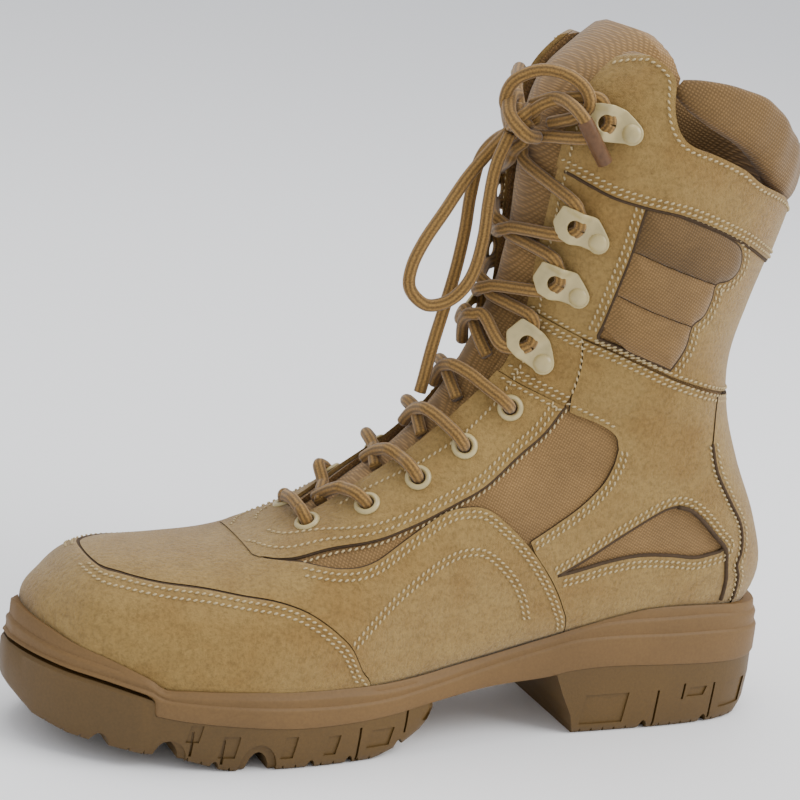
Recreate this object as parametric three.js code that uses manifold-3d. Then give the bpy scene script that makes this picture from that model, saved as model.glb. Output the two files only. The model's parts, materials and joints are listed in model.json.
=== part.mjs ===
// Left desert combat boot: moulded sole, hollow laced upper with sewn overlays, tongue, eyelets,
// speed hooks and a bow. Millimetres, +X to the toe, +Y to the wearer's left (outer side), +Z up.
import * as THREE from 'three';
import { mergeVertices } from 'three/addons/utils/BufferGeometryUtils.js';
import Module from 'manifold-3d';

const wasm = await Module();
wasm.setup();

// Driving sizes of the last and the shaft
const LENGTH = 318;
const BALL_WIDTH = 108;
const SHAFT_RISE = 220;
const HEEL_BED = 40;
const BALL_BED = 21;
const TOE_SPRING = 13;

// Driving sizes of the sole
const SOLE_HEIGHT = 53;
const BUMPER_WALL = 4.6;
const TREAD_DEPTH = 5;
const LUG_GAP = 6;
const RIM_LAP = 4;
const INSOLE_THICK = 3.5;
const MARGIN = 13;

// Driving sizes of leather, padding and metal
const WALL = 2.2;
const VAMP_THICK = 1.0;
const OVERLAY_THICK = 1.5;
const CUFF_THICK = 1.8;
const PAD_THICK = 3.2;
const TONGUE_THICK = 4.5;
const ROLL_THICK = 11;
const GAP = 0.3;
const SEAM_GAP = 0.5;
const METAL_SEAT = 0.55;
const EYELET_OUTER = 10.5;
const EYELET_HOLE = 5.6;
const EYELET_RISE = 1.1;
const HOOK_LENGTH = 23;
const HOOK_WIDTH = 14.5;
const HOOK_THICK = 1.6;
const HOOK_HOLE = 7;
const RIVET_HEAD = 7.5;
const LACE = 5;

// Sections of the upper, toe to above the collar. back/front: ends of the section in the side view,
// x as a share of LENGTH, h as a share of SHAFT_RISE above the footbed. lateral/medial: half
// widths as shares of BALL_WIDTH. wide: place of the widest line from back to front.
// low/high: roundness of the section behind and in front of that line.
const SECTION_COLUMNS = ['backX', 'backH', 'frontX', 'frontH', 'lateral', 'medial', 'wide', 'low', 'high'];
const SECTIONS = [
  [0.976, 0.069, 0.976, 0.069, -0.083, 0.083, 0.50, 2.0, 2.0],
  [0.970, 0.040, 0.969, 0.109, 0.028, 0.185, 0.45, 2.5, 2.2],
  [0.956, 0.023, 0.948, 0.146, 0.130, 0.259, 0.42, 3.2, 2.2],
  [0.931, 0.009, 0.918, 0.188, 0.236, 0.333, 0.40, 4.0, 2.3],
  [0.890, 0.003, 0.874, 0.214, 0.324, 0.389, 0.38, 4.6, 2.4],
  [0.824, -0.002, 0.808, 0.230, 0.407, 0.431, 0.36, 5.0, 2.4],
  [0.745, 0.000, 0.726, 0.250, 0.458, 0.444, 0.34, 5.0, 2.3],
  [0.676, 0.000, 0.654, 0.293, 0.463, 0.426, 0.32, 5.0, 2.1],
  [0.597, 0.003, 0.585, 0.358, 0.440, 0.384, 0.30, 5.0, 2.0],
  [0.503, -0.001, 0.525, 0.418, 0.398, 0.324, 0.30, 4.8, 2.0],
  [0.393, -0.007, 0.487, 0.476, 0.370, 0.306, 0.31, 4.5, 2.0],
  [0.267, -0.009, 0.462, 0.526, 0.352, 0.315, 0.34, 4.0, 2.0],
  [0.151, 0.000, 0.443, 0.574, 0.347, 0.329, 0.38, 3.6, 2.0],
  [0.057, 0.009, 0.431, 0.619, 0.352, 0.338, 0.42, 3.1, 2.0],
  [0.016, 0.082, 0.418, 0.665, 0.361, 0.347, 0.45, 2.7, 2.0],
  [0.031, 0.182, 0.412, 0.708, 0.370, 0.356, 0.46, 2.5, 2.0],
  [0.066, 0.291, 0.406, 0.751, 0.380, 0.366, 0.47, 2.3, 2.0],
  [0.094, 0.400, 0.403, 0.800, 0.394, 0.380, 0.47, 2.2, 2.0],
  [0.101, 0.505, 0.399, 0.859, 0.407, 0.398, 0.47, 2.2, 2.1],
  [0.085, 0.614, 0.396, 0.921, 0.426, 0.417, 0.47, 2.2, 2.1],
  [0.063, 0.723, 0.390, 0.983, 0.444, 0.435, 0.47, 2.2, 2.2],
  [0.050, 0.823, 0.371, 1.037, 0.454, 0.444, 0.47, 2.3, 2.2],
  [0.047, 0.923, 0.333, 1.078, 0.458, 0.449, 0.47, 2.3, 2.2],
  [0.050, 1.023, 0.296, 1.110, 0.458, 0.449, 0.47, 2.3, 2.2],
  [0.053, 1.123, 0.262, 1.135, 0.458, 0.449, 0.47, 2.3, 2.2],
].map(row => Object.fromEntries(SECTION_COLUMNS.map((name, i) => [name, row[i]])));
const LAST_SECTION = SECTIONS.length - 1;

// Outline of the sole from above: x share of LENGTH, outer and inner edge as shares of BALL_WIDTH.
const OUTLINE = [
  [0.000, 0.093, -0.093],
  [0.005, 0.157, -0.157],
  [0.019, 0.231, -0.227],
  [0.047, 0.296, -0.282],
  [0.088, 0.338, -0.319],
  [0.157, 0.361, -0.338],
  [0.252, 0.368, -0.338],
  [0.346, 0.370, -0.315],
  [0.425, 0.389, -0.306],
  [0.503, 0.429, -0.333],
  [0.566, 0.468, -0.380],
  [0.629, 0.497, -0.435],
  [0.692, 0.509, -0.477],
  [0.755, 0.502, -0.491],
  [0.818, 0.465, -0.481],
  [0.868, 0.412, -0.449],
  [0.912, 0.333, -0.394],
  [0.950, 0.236, -0.315],
  [0.975, 0.139, -0.236],
  [0.991, 0.046, -0.171],
  [1.000, -0.037, -0.120],
].map(([x, lateral, medial]) => ({ x, lateral, medial }));

// Heights along the sole as shares of SOLE_HEIGHT: parting of tread and midsole, lower ridge,
// upper rib and top edge of the midsole.
const SIDE_BANDS = [
  [0.000, 0.49, 0.70, 0.81, 0.91],
  [0.088, 0.51, 0.75, 0.88, 0.97],
  [0.157, 0.53, 0.76, 0.89, 0.99],
  [0.252, 0.55, 0.77, 0.88, 0.98],
  [0.308, 0.53, 0.75, 0.82, 0.88],
  [0.346, 0.49, 0.70, 0.76, 0.81],
  [0.425, 0.46, 0.60, 0.66, 0.72],
  [0.503, 0.40, 0.51, 0.56, 0.62],
  [0.566, 0.35, 0.46, 0.52, 0.585],
  [0.629, 0.33, 0.45, 0.53, 0.585],
  [0.692, 0.327, 0.46, 0.535, 0.595],
  [0.755, 0.355, 0.48, 0.55, 0.60],
  [0.818, 0.385, 0.50, 0.555, 0.60],
  [0.852, 0.41, 0.52, 0.565, 0.60],
  [0.868, 0.43, 0.57, 0.62, 0.66],
  [0.912, 0.49, 0.63, 0.69, 0.765],
  [0.950, 0.53, 0.66, 0.73, 0.83],
  [0.975, 0.55, 0.68, 0.76, 0.89],
  [1.000, 0.57, 0.70, 0.80, 0.94],
].map(([x, parting, ridge, rib, top]) => ({ x, parting, ridge, rib, top }));
const BUMPER_START = 0.860;

// Underside of the tread as shares of SOLE_HEIGHT, flat under the heel and the ball.
const TREAD = [
  [0.000, 0.22],
  [0.010, 0.09],
  [0.038, 0.0],
  [0.330, 0.0],
  [0.503, 0.26],
  [0.516, 0.17],
  [0.541, 0.075],
  [0.579, 0.0],
  [0.774, 0.0],
  [0.818, 0.066],
  [0.865, 0.104],
  [0.912, 0.136],
  [0.950, 0.16],
  [0.981, 0.21],
  [1.000, 0.32],
].map(([x, z]) => ({ x, z }));
const FORE_TREAD = [0.503, 1.0];
const HEEL_TREAD = [0.0, 0.335];
const HEEL_BREAST = [[0.292, -0.02], [0.300, 0.16], [0.314, 0.32], [0.327, 0.50]];

// Cross grooves between the lugs: x share, width and depth as shares of LUG_GAP and TREAD_DEPTH.
const GROOVES = [
  { x: 0.100, wide: 0.7, deep: 0.8 },
  { x: 0.192, wide: 0.7, deep: 0.8 },
  { x: 0.547, wide: 0.7, deep: 0.8 },
  { x: 0.616, wide: 0.6, deep: 0.7 },
  { x: 0.667, wide: 0.6, deep: 0.7 },
  { x: 0.735, wide: 1.6, deep: 1.6 },
  { x: 0.787, wide: 0.6, deep: 0.7 },
  { x: 0.843, wide: 1.6, deep: 1.5 },
  { x: 0.915, wide: 1.1, deep: 1.0 },
];

// Half width of the throat along the sections, as shares of BALL_WIDTH.
const THROAT = [
  [6.95, 0.030],
  [7.10, 0.060],
  [7.50, 0.075],
  [8.0, 0.090],
  [9.0, 0.125],
  [10.0, 0.148],
  [12.0, 0.158],
  [14.0, 0.148],
  [16.0, 0.148],
  [18.0, 0.176],
  [20.0, 0.204],
  [21.0, 0.215],
  [23.0, 0.220],
].map(([t, half]) => ({ t, half }));

// Half width of the tongue along the sections, as shares of BALL_WIDTH.
const TONGUE = [
  [6.2, 0.170],
  [7.0, 0.250],
  [9.0, 0.290],
  [12.0, 0.300],
  [16.0, 0.310],
  [20.0, 0.340],
  [21.5, 0.350],
  [22.0, 0.335],
  [22.4, 0.290],
  [22.7, 0.215],
  [22.9, 0.110],
].map(([t, half]) => ({ t, half }));

// Side outlines of the sewn pieces: x share of LENGTH, h share of SHAFT_RISE above the footbed.
const TOE_SEAM = [
  [0.935, 0.30], [0.925, 0.215], [0.911, 0.197], [0.886, 0.200], [0.844, 0.203], [0.798, 0.206],
  [0.757, 0.202], [0.719, 0.197], [0.690, 0.186], [0.667, 0.169], [0.644, 0.144], [0.625, 0.116],
  [0.609, 0.073], [0.593, 0.032], [0.590, -0.08],
];
const EYESTAY_LOW = [
  [0.735, 0.33], [0.730, 0.256], [0.715, 0.250], [0.683, 0.256], [0.638, 0.276], [0.585, 0.290],
  [0.538, 0.304], [0.489, 0.322], [0.449, 0.339], [0.406, 0.377], [0.377, 0.404], [0.350, 0.446],
];
const BAND_LOW = [
  [0.350, 0.446], [0.405, 0.497], [0.437, 0.531], [0.50, 0.58],
];
const BAND_TOP = [
  [0.48, 0.690], [0.417, 0.644], [0.374, 0.601], [0.337, 0.568], [0.299, 0.546], [0.258, 0.522],
  [0.211, 0.496], [0.124, 0.461], [0.05, 0.44],
];
const QUARTER_TOP = [
  [0.678, 0.250], [0.633, 0.246], [0.597, 0.253], [0.556, 0.278], [0.506, 0.308], [0.477, 0.310],
  [0.447, 0.296], [0.415, 0.252], [0.381, 0.193], [0.352, 0.130], [0.333, 0.077], [0.322, 0.031],
  [0.318, -0.08],
];
const COUNTER_FRONT = [
  [0.278, 0.364], [0.282, 0.334], [0.294, 0.299], [0.321, 0.262], [0.355, 0.235], [0.387, 0.216],
];
const HEEL_WINDOW = [
  [0.345, 0.137], [0.306, 0.161], [0.268, 0.194], [0.228, 0.230], [0.205, 0.249], [0.187, 0.256],
  [0.170, 0.250], [0.150, 0.230], [0.124, 0.194], [0.106, 0.168], [0.131, 0.157], [0.153, 0.153],
  [0.187, 0.159], [0.231, 0.161], [0.274, 0.152], [0.316, 0.140],
];
const BACK_SEAM = [
  [0.150, 0.375], [0.137, 0.321], [0.110, 0.263], [0.085, 0.212], [0.077, 0.163], [0.080, 0.131],
  [0.071, 0.089], [0.070, -0.08],
];
const SHAFT_WINDOW = [
  [0.293, 0.809], [0.302, 0.730], [0.312, 0.651], [0.321, 0.569], [0.279, 0.544], [0.227, 0.517],
  [0.214, 0.564], [0.210, 0.601], [0.195, 0.619], [0.188, 0.650], [0.186, 0.678], [0.166, 0.684],
  [0.153, 0.702], [0.154, 0.729], [0.163, 0.748], [0.189, 0.768], [0.227, 0.787], [0.261, 0.803],
];
const PAD_JOINTS = [
  [[0.33, 0.740], [0.299, 0.731], [0.260, 0.710], [0.193, 0.679], [0.12, 0.650]],
  [[0.33, 0.658], [0.310, 0.651], [0.271, 0.627], [0.215, 0.601], [0.12, 0.560]],
];
const CUFF_LOW = [
  [0.45, 0.930], [0.382, 0.876], [0.360, 0.855], [0.331, 0.830], [0.295, 0.814], [0.239, 0.799],
  [0.164, 0.760], [0.10, 0.715], [0.0, 0.650],
];
const COLLAR_TOP = [
  [-0.05, 0.780], [0.05, 0.795], [0.10, 0.835], [0.148, 0.862], [0.177, 0.887], [0.215, 0.909],
  [0.254, 0.927], [0.271, 0.954], [0.277, 0.990], [0.277, 1.038], [0.295, 1.066], [0.311, 1.068],
  [0.337, 1.060], [0.357, 1.040], [0.367, 1.020], [0.45, 1.000],
];
const COLLAR_ROLL = { low: 20.85, high: 22.05, reach: 121, outer: 2.5 };

// Places of the lacing metal in the side view: x share of LENGTH, h share of SHAFT_RISE.
// under: thickness of the piece that a hook is riveted to.
const EYELETS = [[0.653, 0.295], [0.589, 0.335], [0.529, 0.370], [0.473, 0.409], [0.416, 0.457]];
const HOOKS = [
  { hole: [0.395, 0.564], rivet: [0.372, 0.530], under: VAMP_THICK },
  { hole: [0.370, 0.674], rivet: [0.347, 0.659], under: VAMP_THICK },
  { hole: [0.360, 0.776], rivet: [0.337, 0.761], under: VAMP_THICK },
  { hole: [0.344, 0.956], rivet: [0.321, 0.945], under: CUFF_THICK },
];

const COLOURS = {
  suede: 0xb89567, nylon: 0x94703f, rubber: 0x9a6a35, midsole: 0xa57a4e, lining: 0x7f6643,
  metal: 0xd6c08c, lace: 0xa9793a, insole: 0x5b4a38, aglet: 0x8a5a2a,
};
function finish(name, roughness = 0.9, metalness = 0) {
  return new THREE.MeshStandardMaterial({ color: COLOURS[name], roughness, metalness });
}

const boot = new THREE.Group();

// Values between the rows of a table, straight from row to row
function between(rows, key, at, column) {
  let i = 0;
  while (i < rows.length - 2 && rows[i + 1][key] < at) i += 1;
  const a = rows[i];
  const b = rows[i + 1];
  const k = THREE.MathUtils.clamp((at - a[key]) / (b[key] - a[key]), 0, 1);
  return a[column] + (b[column] - a[column]) * k;
}

// Height of the footbed at x, a share of LENGTH
const ARCH_FRONT = 0.64;
const ARCH_REACH = 0.36;
const TOE_BREAK = 0.74;
function bedHeight(x) {
  const arch = THREE.MathUtils.smoothstep(ARCH_FRONT - x, 0, ARCH_REACH);
  const toe = Math.max(0, (x - TOE_BREAK) / (1 - TOE_BREAK));
  return BALL_BED + (HEEL_BED - BALL_BED) * arch + TOE_SPRING * toe * toe;
}

// A side view place in millimetres
function side([x, h]) {
  return new THREE.Vector2(x * LENGTH, bedHeight(x) + h * SHAFT_RISE);
}

// A section of the upper between two table rows, smoothly
function sectionAt(t) {
  const at = THREE.MathUtils.clamp(t, 0, LAST_SECTION);
  const i = Math.min(Math.floor(at), LAST_SECTION - 1);
  const rows = [i - 1, i, i + 1, i + 2].map(k => SECTIONS[THREE.MathUtils.clamp(k, 0, LAST_SECTION)]);
  const k = at - i;
  const value = name => {
    const [a, b, c, d] = rows.map(row => row[name]);
    return b + 0.5 * k * (c - a + k * (2 * a - 5 * b + 4 * c - d + k * (3 * (b - c) + d - a)));
  };
  return Object.fromEntries(SECTION_COLUMNS.map(name => [name, value(name)]));
}

// The two ends of a section in the side view, moved out by grow
const NORMAL_STEP = 0.05;
function sectionEnds(t, grow) {
  const section = sectionAt(t);
  const before = sectionAt(t - NORMAL_STEP);
  const after = sectionAt(t + NORMAL_STEP);
  const end = (x, h, turn) => {
    const along = side([after[x], after[h]]).sub(side([before[x], before[h]])).normalize();
    const out = new THREE.Vector2(along.y, -along.x).multiplyScalar(turn * grow);
    return side([section[x], section[h]]).add(out);
  };
  return { section, back: end('backX', 'backH', -1), front: end('frontX', 'frontH', 1) };
}

const POLE_WIDTH = 12;
// A point of the upper's surface: t along the sections, angle from the back over the outer side
function formPoint(t, angle, grow) {
  const { section, back, front } = sectionEnds(t, grow);
  const c = Math.cos(angle);
  const power = c > 0 ? section.low : section.high;
  const step = Math.abs(c) ** (2 / power);
  const s = c > 0 ? section.wide * (1 - step) : section.wide + (1 - section.wide) * step;
  const middle = (section.lateral - section.medial) / 2 * BALL_WIDTH;
  const half = (section.lateral + section.medial) / 2 * BALL_WIDTH;
  const wide = (half + grow * Math.min(1, half / POLE_WIDTH)) * Math.abs(Math.sin(angle)) ** (2 / power);
  const at = back.clone().lerp(front, s);
  return new THREE.Vector3(at.x, middle + Math.sign(Math.sin(angle)) * wide, at.y);
}

// The section and angle whose surface point lies over a side view place
const SKIN_PLACE = GAP + VAMP_THICK;
const SEARCH_STEPS = 400;
function locate(place, flank) {
  const { x, y: z } = side(place);
  const miss = t => {
    const { back, front } = sectionEnds(t, SKIN_PLACE);
    return (front.x - back.x) * (z - back.y) - (front.y - back.y) * (x - back.x);
  };
  const step = LAST_SECTION / SEARCH_STEPS;
  let low = step;
  while (low < LAST_SECTION - step && miss(low) * miss(low + step) > 0) low += step;
  let high = low + step;
  for (let i = 0; i < 24; i += 1) {
    const mid = (low + high) / 2;
    if (miss(low) * miss(mid) > 0) low = mid;
    else high = mid;
  }
  const { section, back, front } = sectionEnds(low, SKIN_PLACE);
  const along = front.clone().sub(back);
  const s = ((x - back.x) * along.x + (z - back.y) * along.y) / along.lengthSq();
  const past = s > section.wide;
  const reach = past ? (s - section.wide) / (1 - section.wide) : (section.wide - s) / section.wide;
  const turn = Math.min(1, reach) ** ((past ? section.high : section.low) / 2);
  const angle = Math.acos(past ? -turn : turn);
  return { t: low, angle: flank > 0 ? angle : 2 * Math.PI - angle };
}
const SLOPE_STEP = 0.02;
function surfaceFrame({ t, angle }) {
  const point = formPoint(t, angle, SKIN_PLACE);
  const alongT = formPoint(t + SLOPE_STEP, angle, SKIN_PLACE).sub(formPoint(t - SLOPE_STEP, angle, SKIN_PLACE));
  const around = formPoint(t, angle + SLOPE_STEP, SKIN_PLACE).sub(formPoint(t, angle - SLOPE_STEP, SKIN_PLACE));
  return { point, normal: alongT.cross(around).normalize() };
}

// Closed solids from geometry, with their faces outward, and geometry from solids
const WELD = 1e-4;
function toSolid(geometry) {
  const bare = new THREE.BufferGeometry();
  bare.setAttribute('position', geometry.getAttribute('position'));
  bare.setIndex(geometry.index);
  const welded = mergeVertices(bare, WELD);
  const corners = [];
  for (let i = 0; i < welded.index.count; i += 3) {
    const [a, b, c] = [0, 1, 2].map(k => welded.index.getX(i + k));
    if (a !== b && b !== c && a !== c) corners.push(a, b, c);
  }
  const close = triangles => new wasm.Manifold(new wasm.Mesh({
    numProp: 3,
    vertProperties: Float32Array.from(welded.getAttribute('position').array),
    triVerts: Uint32Array.from(triangles),
  }));
  const solid = close(corners);
  return solid.volume() < 0 ? close(corners.reverse()) : solid;
}
function toGeometry(solid) {
  const mesh = solid.getMesh();
  const geometry = new THREE.BufferGeometry();
  geometry.setAttribute('position', new THREE.BufferAttribute(Float32Array.from(mesh.vertProperties), 3));
  geometry.setIndex(new THREE.BufferAttribute(Uint32Array.from(mesh.triVerts), 1));
  geometry.computeVertexNormals();
  return geometry;
}
function addPiece(name, solid, material) {
  const mesh = new THREE.Mesh(toGeometry(solid), material);
  mesh.name = name;
  boot.add(mesh);
  return mesh;
}

// A solid skinned over rings of equal point count, closed by a fan at each end
function skin(rings) {
  const count = rings[0].length;
  const points = rings.flat();
  const index = [];
  for (let r = 0; r < rings.length - 1; r += 1) {
    for (let i = 0; i < count; i += 1) {
      const a = r * count + i;
      const b = r * count + (i + 1) % count;
      index.push(a, b, b + count, a, b + count, a + count);
    }
  }
  const first = points.length;
  const centre = ring => ring.reduce((sum, p) => sum.add(p), new THREE.Vector3()).divideScalar(count);
  points.push(centre(rings[0]), centre(rings[rings.length - 1]));
  const top = (rings.length - 1) * count;
  for (let i = 0; i < count; i += 1) {
    const next = (i + 1) % count;
    index.push(first, next, i);
    index.push(first + 1, top + i, top + next);
  }
  const geometry = new THREE.BufferGeometry().setFromPoints(points);
  geometry.setIndex(index);
  return toSolid(geometry);
}

// A piece of lacing metal, made around the Z axis, set on the surface at a side view place
function placeOn(geometry, place, flank, lift, ahead = [1, 0]) {
  const { point, normal } = surfaceFrame(locate(place, flank));
  const forward = new THREE.Vector3(ahead[0], 0, ahead[1]);
  forward.addScaledVector(normal, -forward.dot(normal)).normalize();
  const across = normal.clone().cross(forward);
  const at = point.clone().addScaledVector(normal, lift);
  return geometry.applyMatrix4(new THREE.Matrix4().makeBasis(forward, across, normal).setPosition(at));
}
const BORE_REACH = 14;
const BORE_SIDES = 6;
const EYELET_SIDES = 8;
function eyeletBore(place, flank) {
  const bore = new THREE.CylinderGeometry(EYELET_HOLE / 2, EYELET_HOLE / 2, BORE_REACH, BORE_SIDES);
  bore.rotateX(Math.PI / 2);
  return toSolid(placeOn(bore, place, flank, 0));
}

// The upper's form, moved out by grow
const AROUND = 18;
const SECTION_STEPS = [0, 1, 2, 3, 4, 5, 6, 7, 8, 9, 10, 11.4, 12.5, 13.2, 14, 15, 16.5, 18, 19, 20, 21, 22, 23,
  LAST_SECTION];
const formCache = new Map();
function form(grow) {
  if (!formCache.has(grow)) {
    const rings = SECTION_STEPS.map(t => Array.from({ length: AROUND }, (_, i) => (
      formPoint(t, i / AROUND * 2 * Math.PI, grow))));
    formCache.set(grow, skin(rings));
  }
  return formCache.get(grow);
}

// A side outline as a prism across the boot, from y0 to y1
const FAR = 90;
function prism(points, y0 = -FAR, y1 = FAR) {
  const shape = new THREE.Shape(points);
  const geometry = new THREE.ExtrudeGeometry(shape, { depth: y1 - y0, bevelEnabled: false });
  geometry.rotateX(Math.PI / 2);
  geometry.translate(0, y1, 0);
  return toSolid(geometry);
}
function sidePrism(places, flank = 0) {
  const y0 = flank > 0 ? 0 : -FAR;
  const y1 = flank < 0 ? 0 : FAR;
  return prism(places.map(side), y0, y1);
}

// A block along the front of the sections with the half widths of a table
const FRONT_REACH = 24;
const TONGUE_REACH = 40;
function frontBlock(rows, extra = 0, inward = FRONT_REACH) {
  const rings = rows.map(row => {
    const { back, front } = sectionEnds(row.t, 0);
    const out = front.clone().sub(back).normalize();
    const half = row.half * BALL_WIDTH + extra;
    const high = front.clone().addScaledVector(out, FRONT_REACH);
    const low = front.clone().addScaledVector(out, -inward);
    return [[low, -half], [high, -half], [high, half], [low, half]].map(([p, y]) => (
      new THREE.Vector3(p.x, y, p.y)));
  });
  return skin(rings);
}

// Stations of the sole's outline between two x shares: outer edge forward, inner edge back
function outlineRing(from, to, offset, height) {
  const inner = OUTLINE.map(row => row.x).filter(x => x > from && x < to);
  const xs = [from, ...inner, to];
  const edge = [
    ...xs.map(x => ({ x, y: between(OUTLINE, 'x', x, 'lateral') })),
    ...xs.slice().reverse().map(x => ({ x, y: between(OUTLINE, 'x', x, 'medial') })),
  ];
  const flat = edge.map(p => new THREE.Vector2(p.x * LENGTH, p.y * BALL_WIDTH));
  const count = flat.length;
  return flat.map((p, i) => {
    const before = flat[(i + count - 1) % count];
    const after = flat[(i + 1) % count];
    const a = p.clone().sub(before).normalize();
    const b = after.clone().sub(p).normalize();
    const along = a.add(b).normalize();
    const move = offset(edge[i].x);
    return new THREE.Vector3(p.x - along.y * move, p.y + along.x * move, height(edge[i].x));
  });
}

// A solid over such rings, closed below and above by strips across the sole
function soleStack(from, to, layers) {
  const rings = layers.map(layer => outlineRing(from, to, layer.offset, layer.height));
  const count = rings[0].length;
  const points = rings.flat();
  const index = [];
  for (let r = 0; r < rings.length - 1; r += 1) {
    for (let i = 0; i < count; i += 1) {
      const a = r * count + i;
      const b = r * count + (i + 1) % count;
      index.push(a, b + count, b, a, a + count, b + count);
    }
  }
  const top = (rings.length - 1) * count;
  for (let i = 0; i < count / 2 - 1; i += 1) {
    const j = count - 1 - i;
    index.push(i, i + 1, j, i + 1, j - 1, j);
    index.push(top + i, top + j, top + i + 1, top + i + 1, top + j, top + j - 1);
  }
  const geometry = new THREE.BufferGeometry().setFromPoints(points);
  geometry.setIndex(index);
  return toSolid(geometry);
}
const band = name => x => between(SIDE_BANDS, 'x', x, name) * SOLE_HEIGHT;
const raised = (height, by) => x => height(x) + by;
const always = value => () => value;
const tread = x => between(TREAD, 'x', x, 'z') * SOLE_HEIGHT;
const bumper = x => THREE.MathUtils.smoothstep(x, BUMPER_START, BUMPER_START + 0.012);

// The midsole before its cup is cut, larger all round by extra
const RIDGE_STEP = 1.4;
function midsoleBody(extra) {
  const below = x => extra - 0.6 - bumper(x) * BUMPER_WALL;
  const layers = [
    { offset: below, height: raised(band('parting'), -extra) },
    { offset: x => below(x) + 0.6, height: raised(band('parting'), 2 - extra) },
    { offset: x => below(x) + 0.6, height: raised(band('ridge'), -RIDGE_STEP - extra) },
    { offset: always(extra), height: raised(band('ridge'), -extra) },
    { offset: always(extra - 1.0), height: raised(band('ridge'), RIDGE_STEP - extra) },
    { offset: always(extra - 1.0), height: band('rib') },
    { offset: always(extra - 2.0), height: raised(band('rib'), RIDGE_STEP) },
    { offset: always(extra - 2.6), height: raised(band('top'), extra) },
  ];
  return soleStack(0, 1, layers);
}

// The outline above a height along the sole, as one prism across the boot
function aboveSole(height) {
  const xs = [-0.1, ...SIDE_BANDS.map(row => row.x), 1.1];
  const edge = xs.map(x => new THREE.Vector2(x * LENGTH, height(THREE.MathUtils.clamp(x, 0, 1))));
  return prism([...edge, new THREE.Vector2(1.1 * LENGTH, 2 * SHAFT_RISE), new THREE.Vector2(-0.1 * LENGTH, 2 * SHAFT_RISE)]);
}

// Midsole: a cup around the upper's foot, wider at its rim for the sewn pieces
const SKIN_OUT = GAP + OVERLAY_THICK;
const rimCut = form(SKIN_OUT + GAP).intersect(aboveSole(raised(band('top'), -RIM_LAP)));
const midsole = midsoleBody(0).subtract(form(GAP)).subtract(rimCut);
addPiece('midsole', midsole, finish('midsole', 0.75));

// Treads: a forefoot unit with the toe bumper and a heel unit, both with lugs
function treadUnit([from, to], top) {
  const wallOut = x => -0.9 + bumper(x) * 1.6;
  const layers = [
    { offset: x => wallOut(x) - 3.0, height: tread },
    { offset: x => wallOut(x) - 1.2, height: raised(tread, 2.5) },
    { offset: wallOut, height: x => (tread(x) + 2 * top(x)) / 3 },
    { offset: x => wallOut(x) - 0.5 * bumper(x), height: top },
  ];
  return soleStack(from, to, layers).subtract(midsoleBody(GAP));
}
function grooveCut({ x, wide, deep }) {
  const half = wide * LUG_GAP / 2;
  const base = tread(x);
  const depth = deep * TREAD_DEPTH;
  const at = x * LENGTH;
  const places = [[-half - 1, -2], [-half, 0], [-half * 0.8, depth * 0.8], [-half * 0.3, depth],
    [half * 0.3, depth], [half * 0.8, depth * 0.8], [half, 0], [half + 1, -2]];
  return prism(places.map(([dx, dz]) => new THREE.Vector2(at + dx, base + dz)));
}
const CENTRE_GROOVE = 9;
function lengthGroove(from, to) {
  const low = tread((from + to) / 2);
  const places = [[from, low - 3], [to, low - 3], [to, low + TREAD_DEPTH * 0.7], [from, low + TREAD_DEPTH * 0.7]];
  return prism(places.map(([x, z]) => new THREE.Vector2(x * LENGTH, z)), -CENTRE_GROOVE / 2, CENTRE_GROOVE / 2);
}
function cutLugs(unit, [from, to]) {
  return GROOVES.filter(row => row.x > from && row.x < to).reduce((body, row) => body.subtract(grooveCut(row)), unit);
}
const partingTop = raised(band('parting'), 4);
const bumperTop = x => (bumper(x) > 0 ? band('ridge')(x) - GAP - RIDGE_STEP : partingTop(x));
const foreTread = cutLugs(treadUnit(FORE_TREAD, bumperTop), FORE_TREAD).subtract(lengthGroove(0.55, 0.80));
addPiece('outsole_forefoot', foreTread, finish('rubber', 0.7));
const breast = [...HEEL_BREAST, [0.36, 0.50], [0.36, -0.02]].map(([x, z]) => (
  new THREE.Vector2(x * LENGTH, z * SOLE_HEIGHT)));
const heelTread = cutLugs(treadUnit(HEEL_TREAD, partingTop), HEEL_TREAD)
  .subtract(prism(breast)).subtract(lengthGroove(0.06, 0.26));
addPiece('outsole_heel', heelTread, finish('rubber', 0.7));

// Upper: the hollow wall, open at the collar, down the throat and under the foot
const collarCut = [...COLLAR_TOP.map(side), new THREE.Vector2(0.45 * LENGTH, 2 * SHAFT_RISE),
  new THREE.Vector2(-0.05 * LENGTH, 2 * SHAFT_RISE)];
const collarPrism = prism(collarCut);
const throat = frontBlock(THROAT);
const footOpening = soleStack(0.05, 0.93, [
  { offset: always(-MARGIN), height: always(-5) },
  { offset: always(-MARGIN), height: x => bedHeight(x) + WALL + 2 },
]);
const hollow = form(0).subtract(form(-WALL));
const eyeletBores = [1, -1].flatMap(flank => EYELETS.map(place => eyeletBore(place, flank)));
const openUpper = hollow.subtract(collarPrism).subtract(throat).subtract(footOpening);
addPiece('upper', eyeletBores.reduce((body, bore) => body.subtract(bore), openUpper), finish('lining'));

// Insole: fills the floor of the upper
const insoleTop = x => bedHeight(x) + WALL + GAP + INSOLE_THICK;
const floorSlab = aboveSole(insoleTop);
addPiece('insole', form(-WALL - GAP).subtract(floorSlab), finish('insole', 0.95));

// Tongue: inside the throat, rising above the collar
const tongueOut = -WALL - GAP;
const tongueBlank = form(tongueOut).subtract(form(tongueOut - TONGUE_THICK));
const tongue = tongueBlank.intersect(frontBlock(TONGUE, 0, TONGUE_REACH));
addPiece('tongue', tongue, finish('nylon', 0.95));

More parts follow.
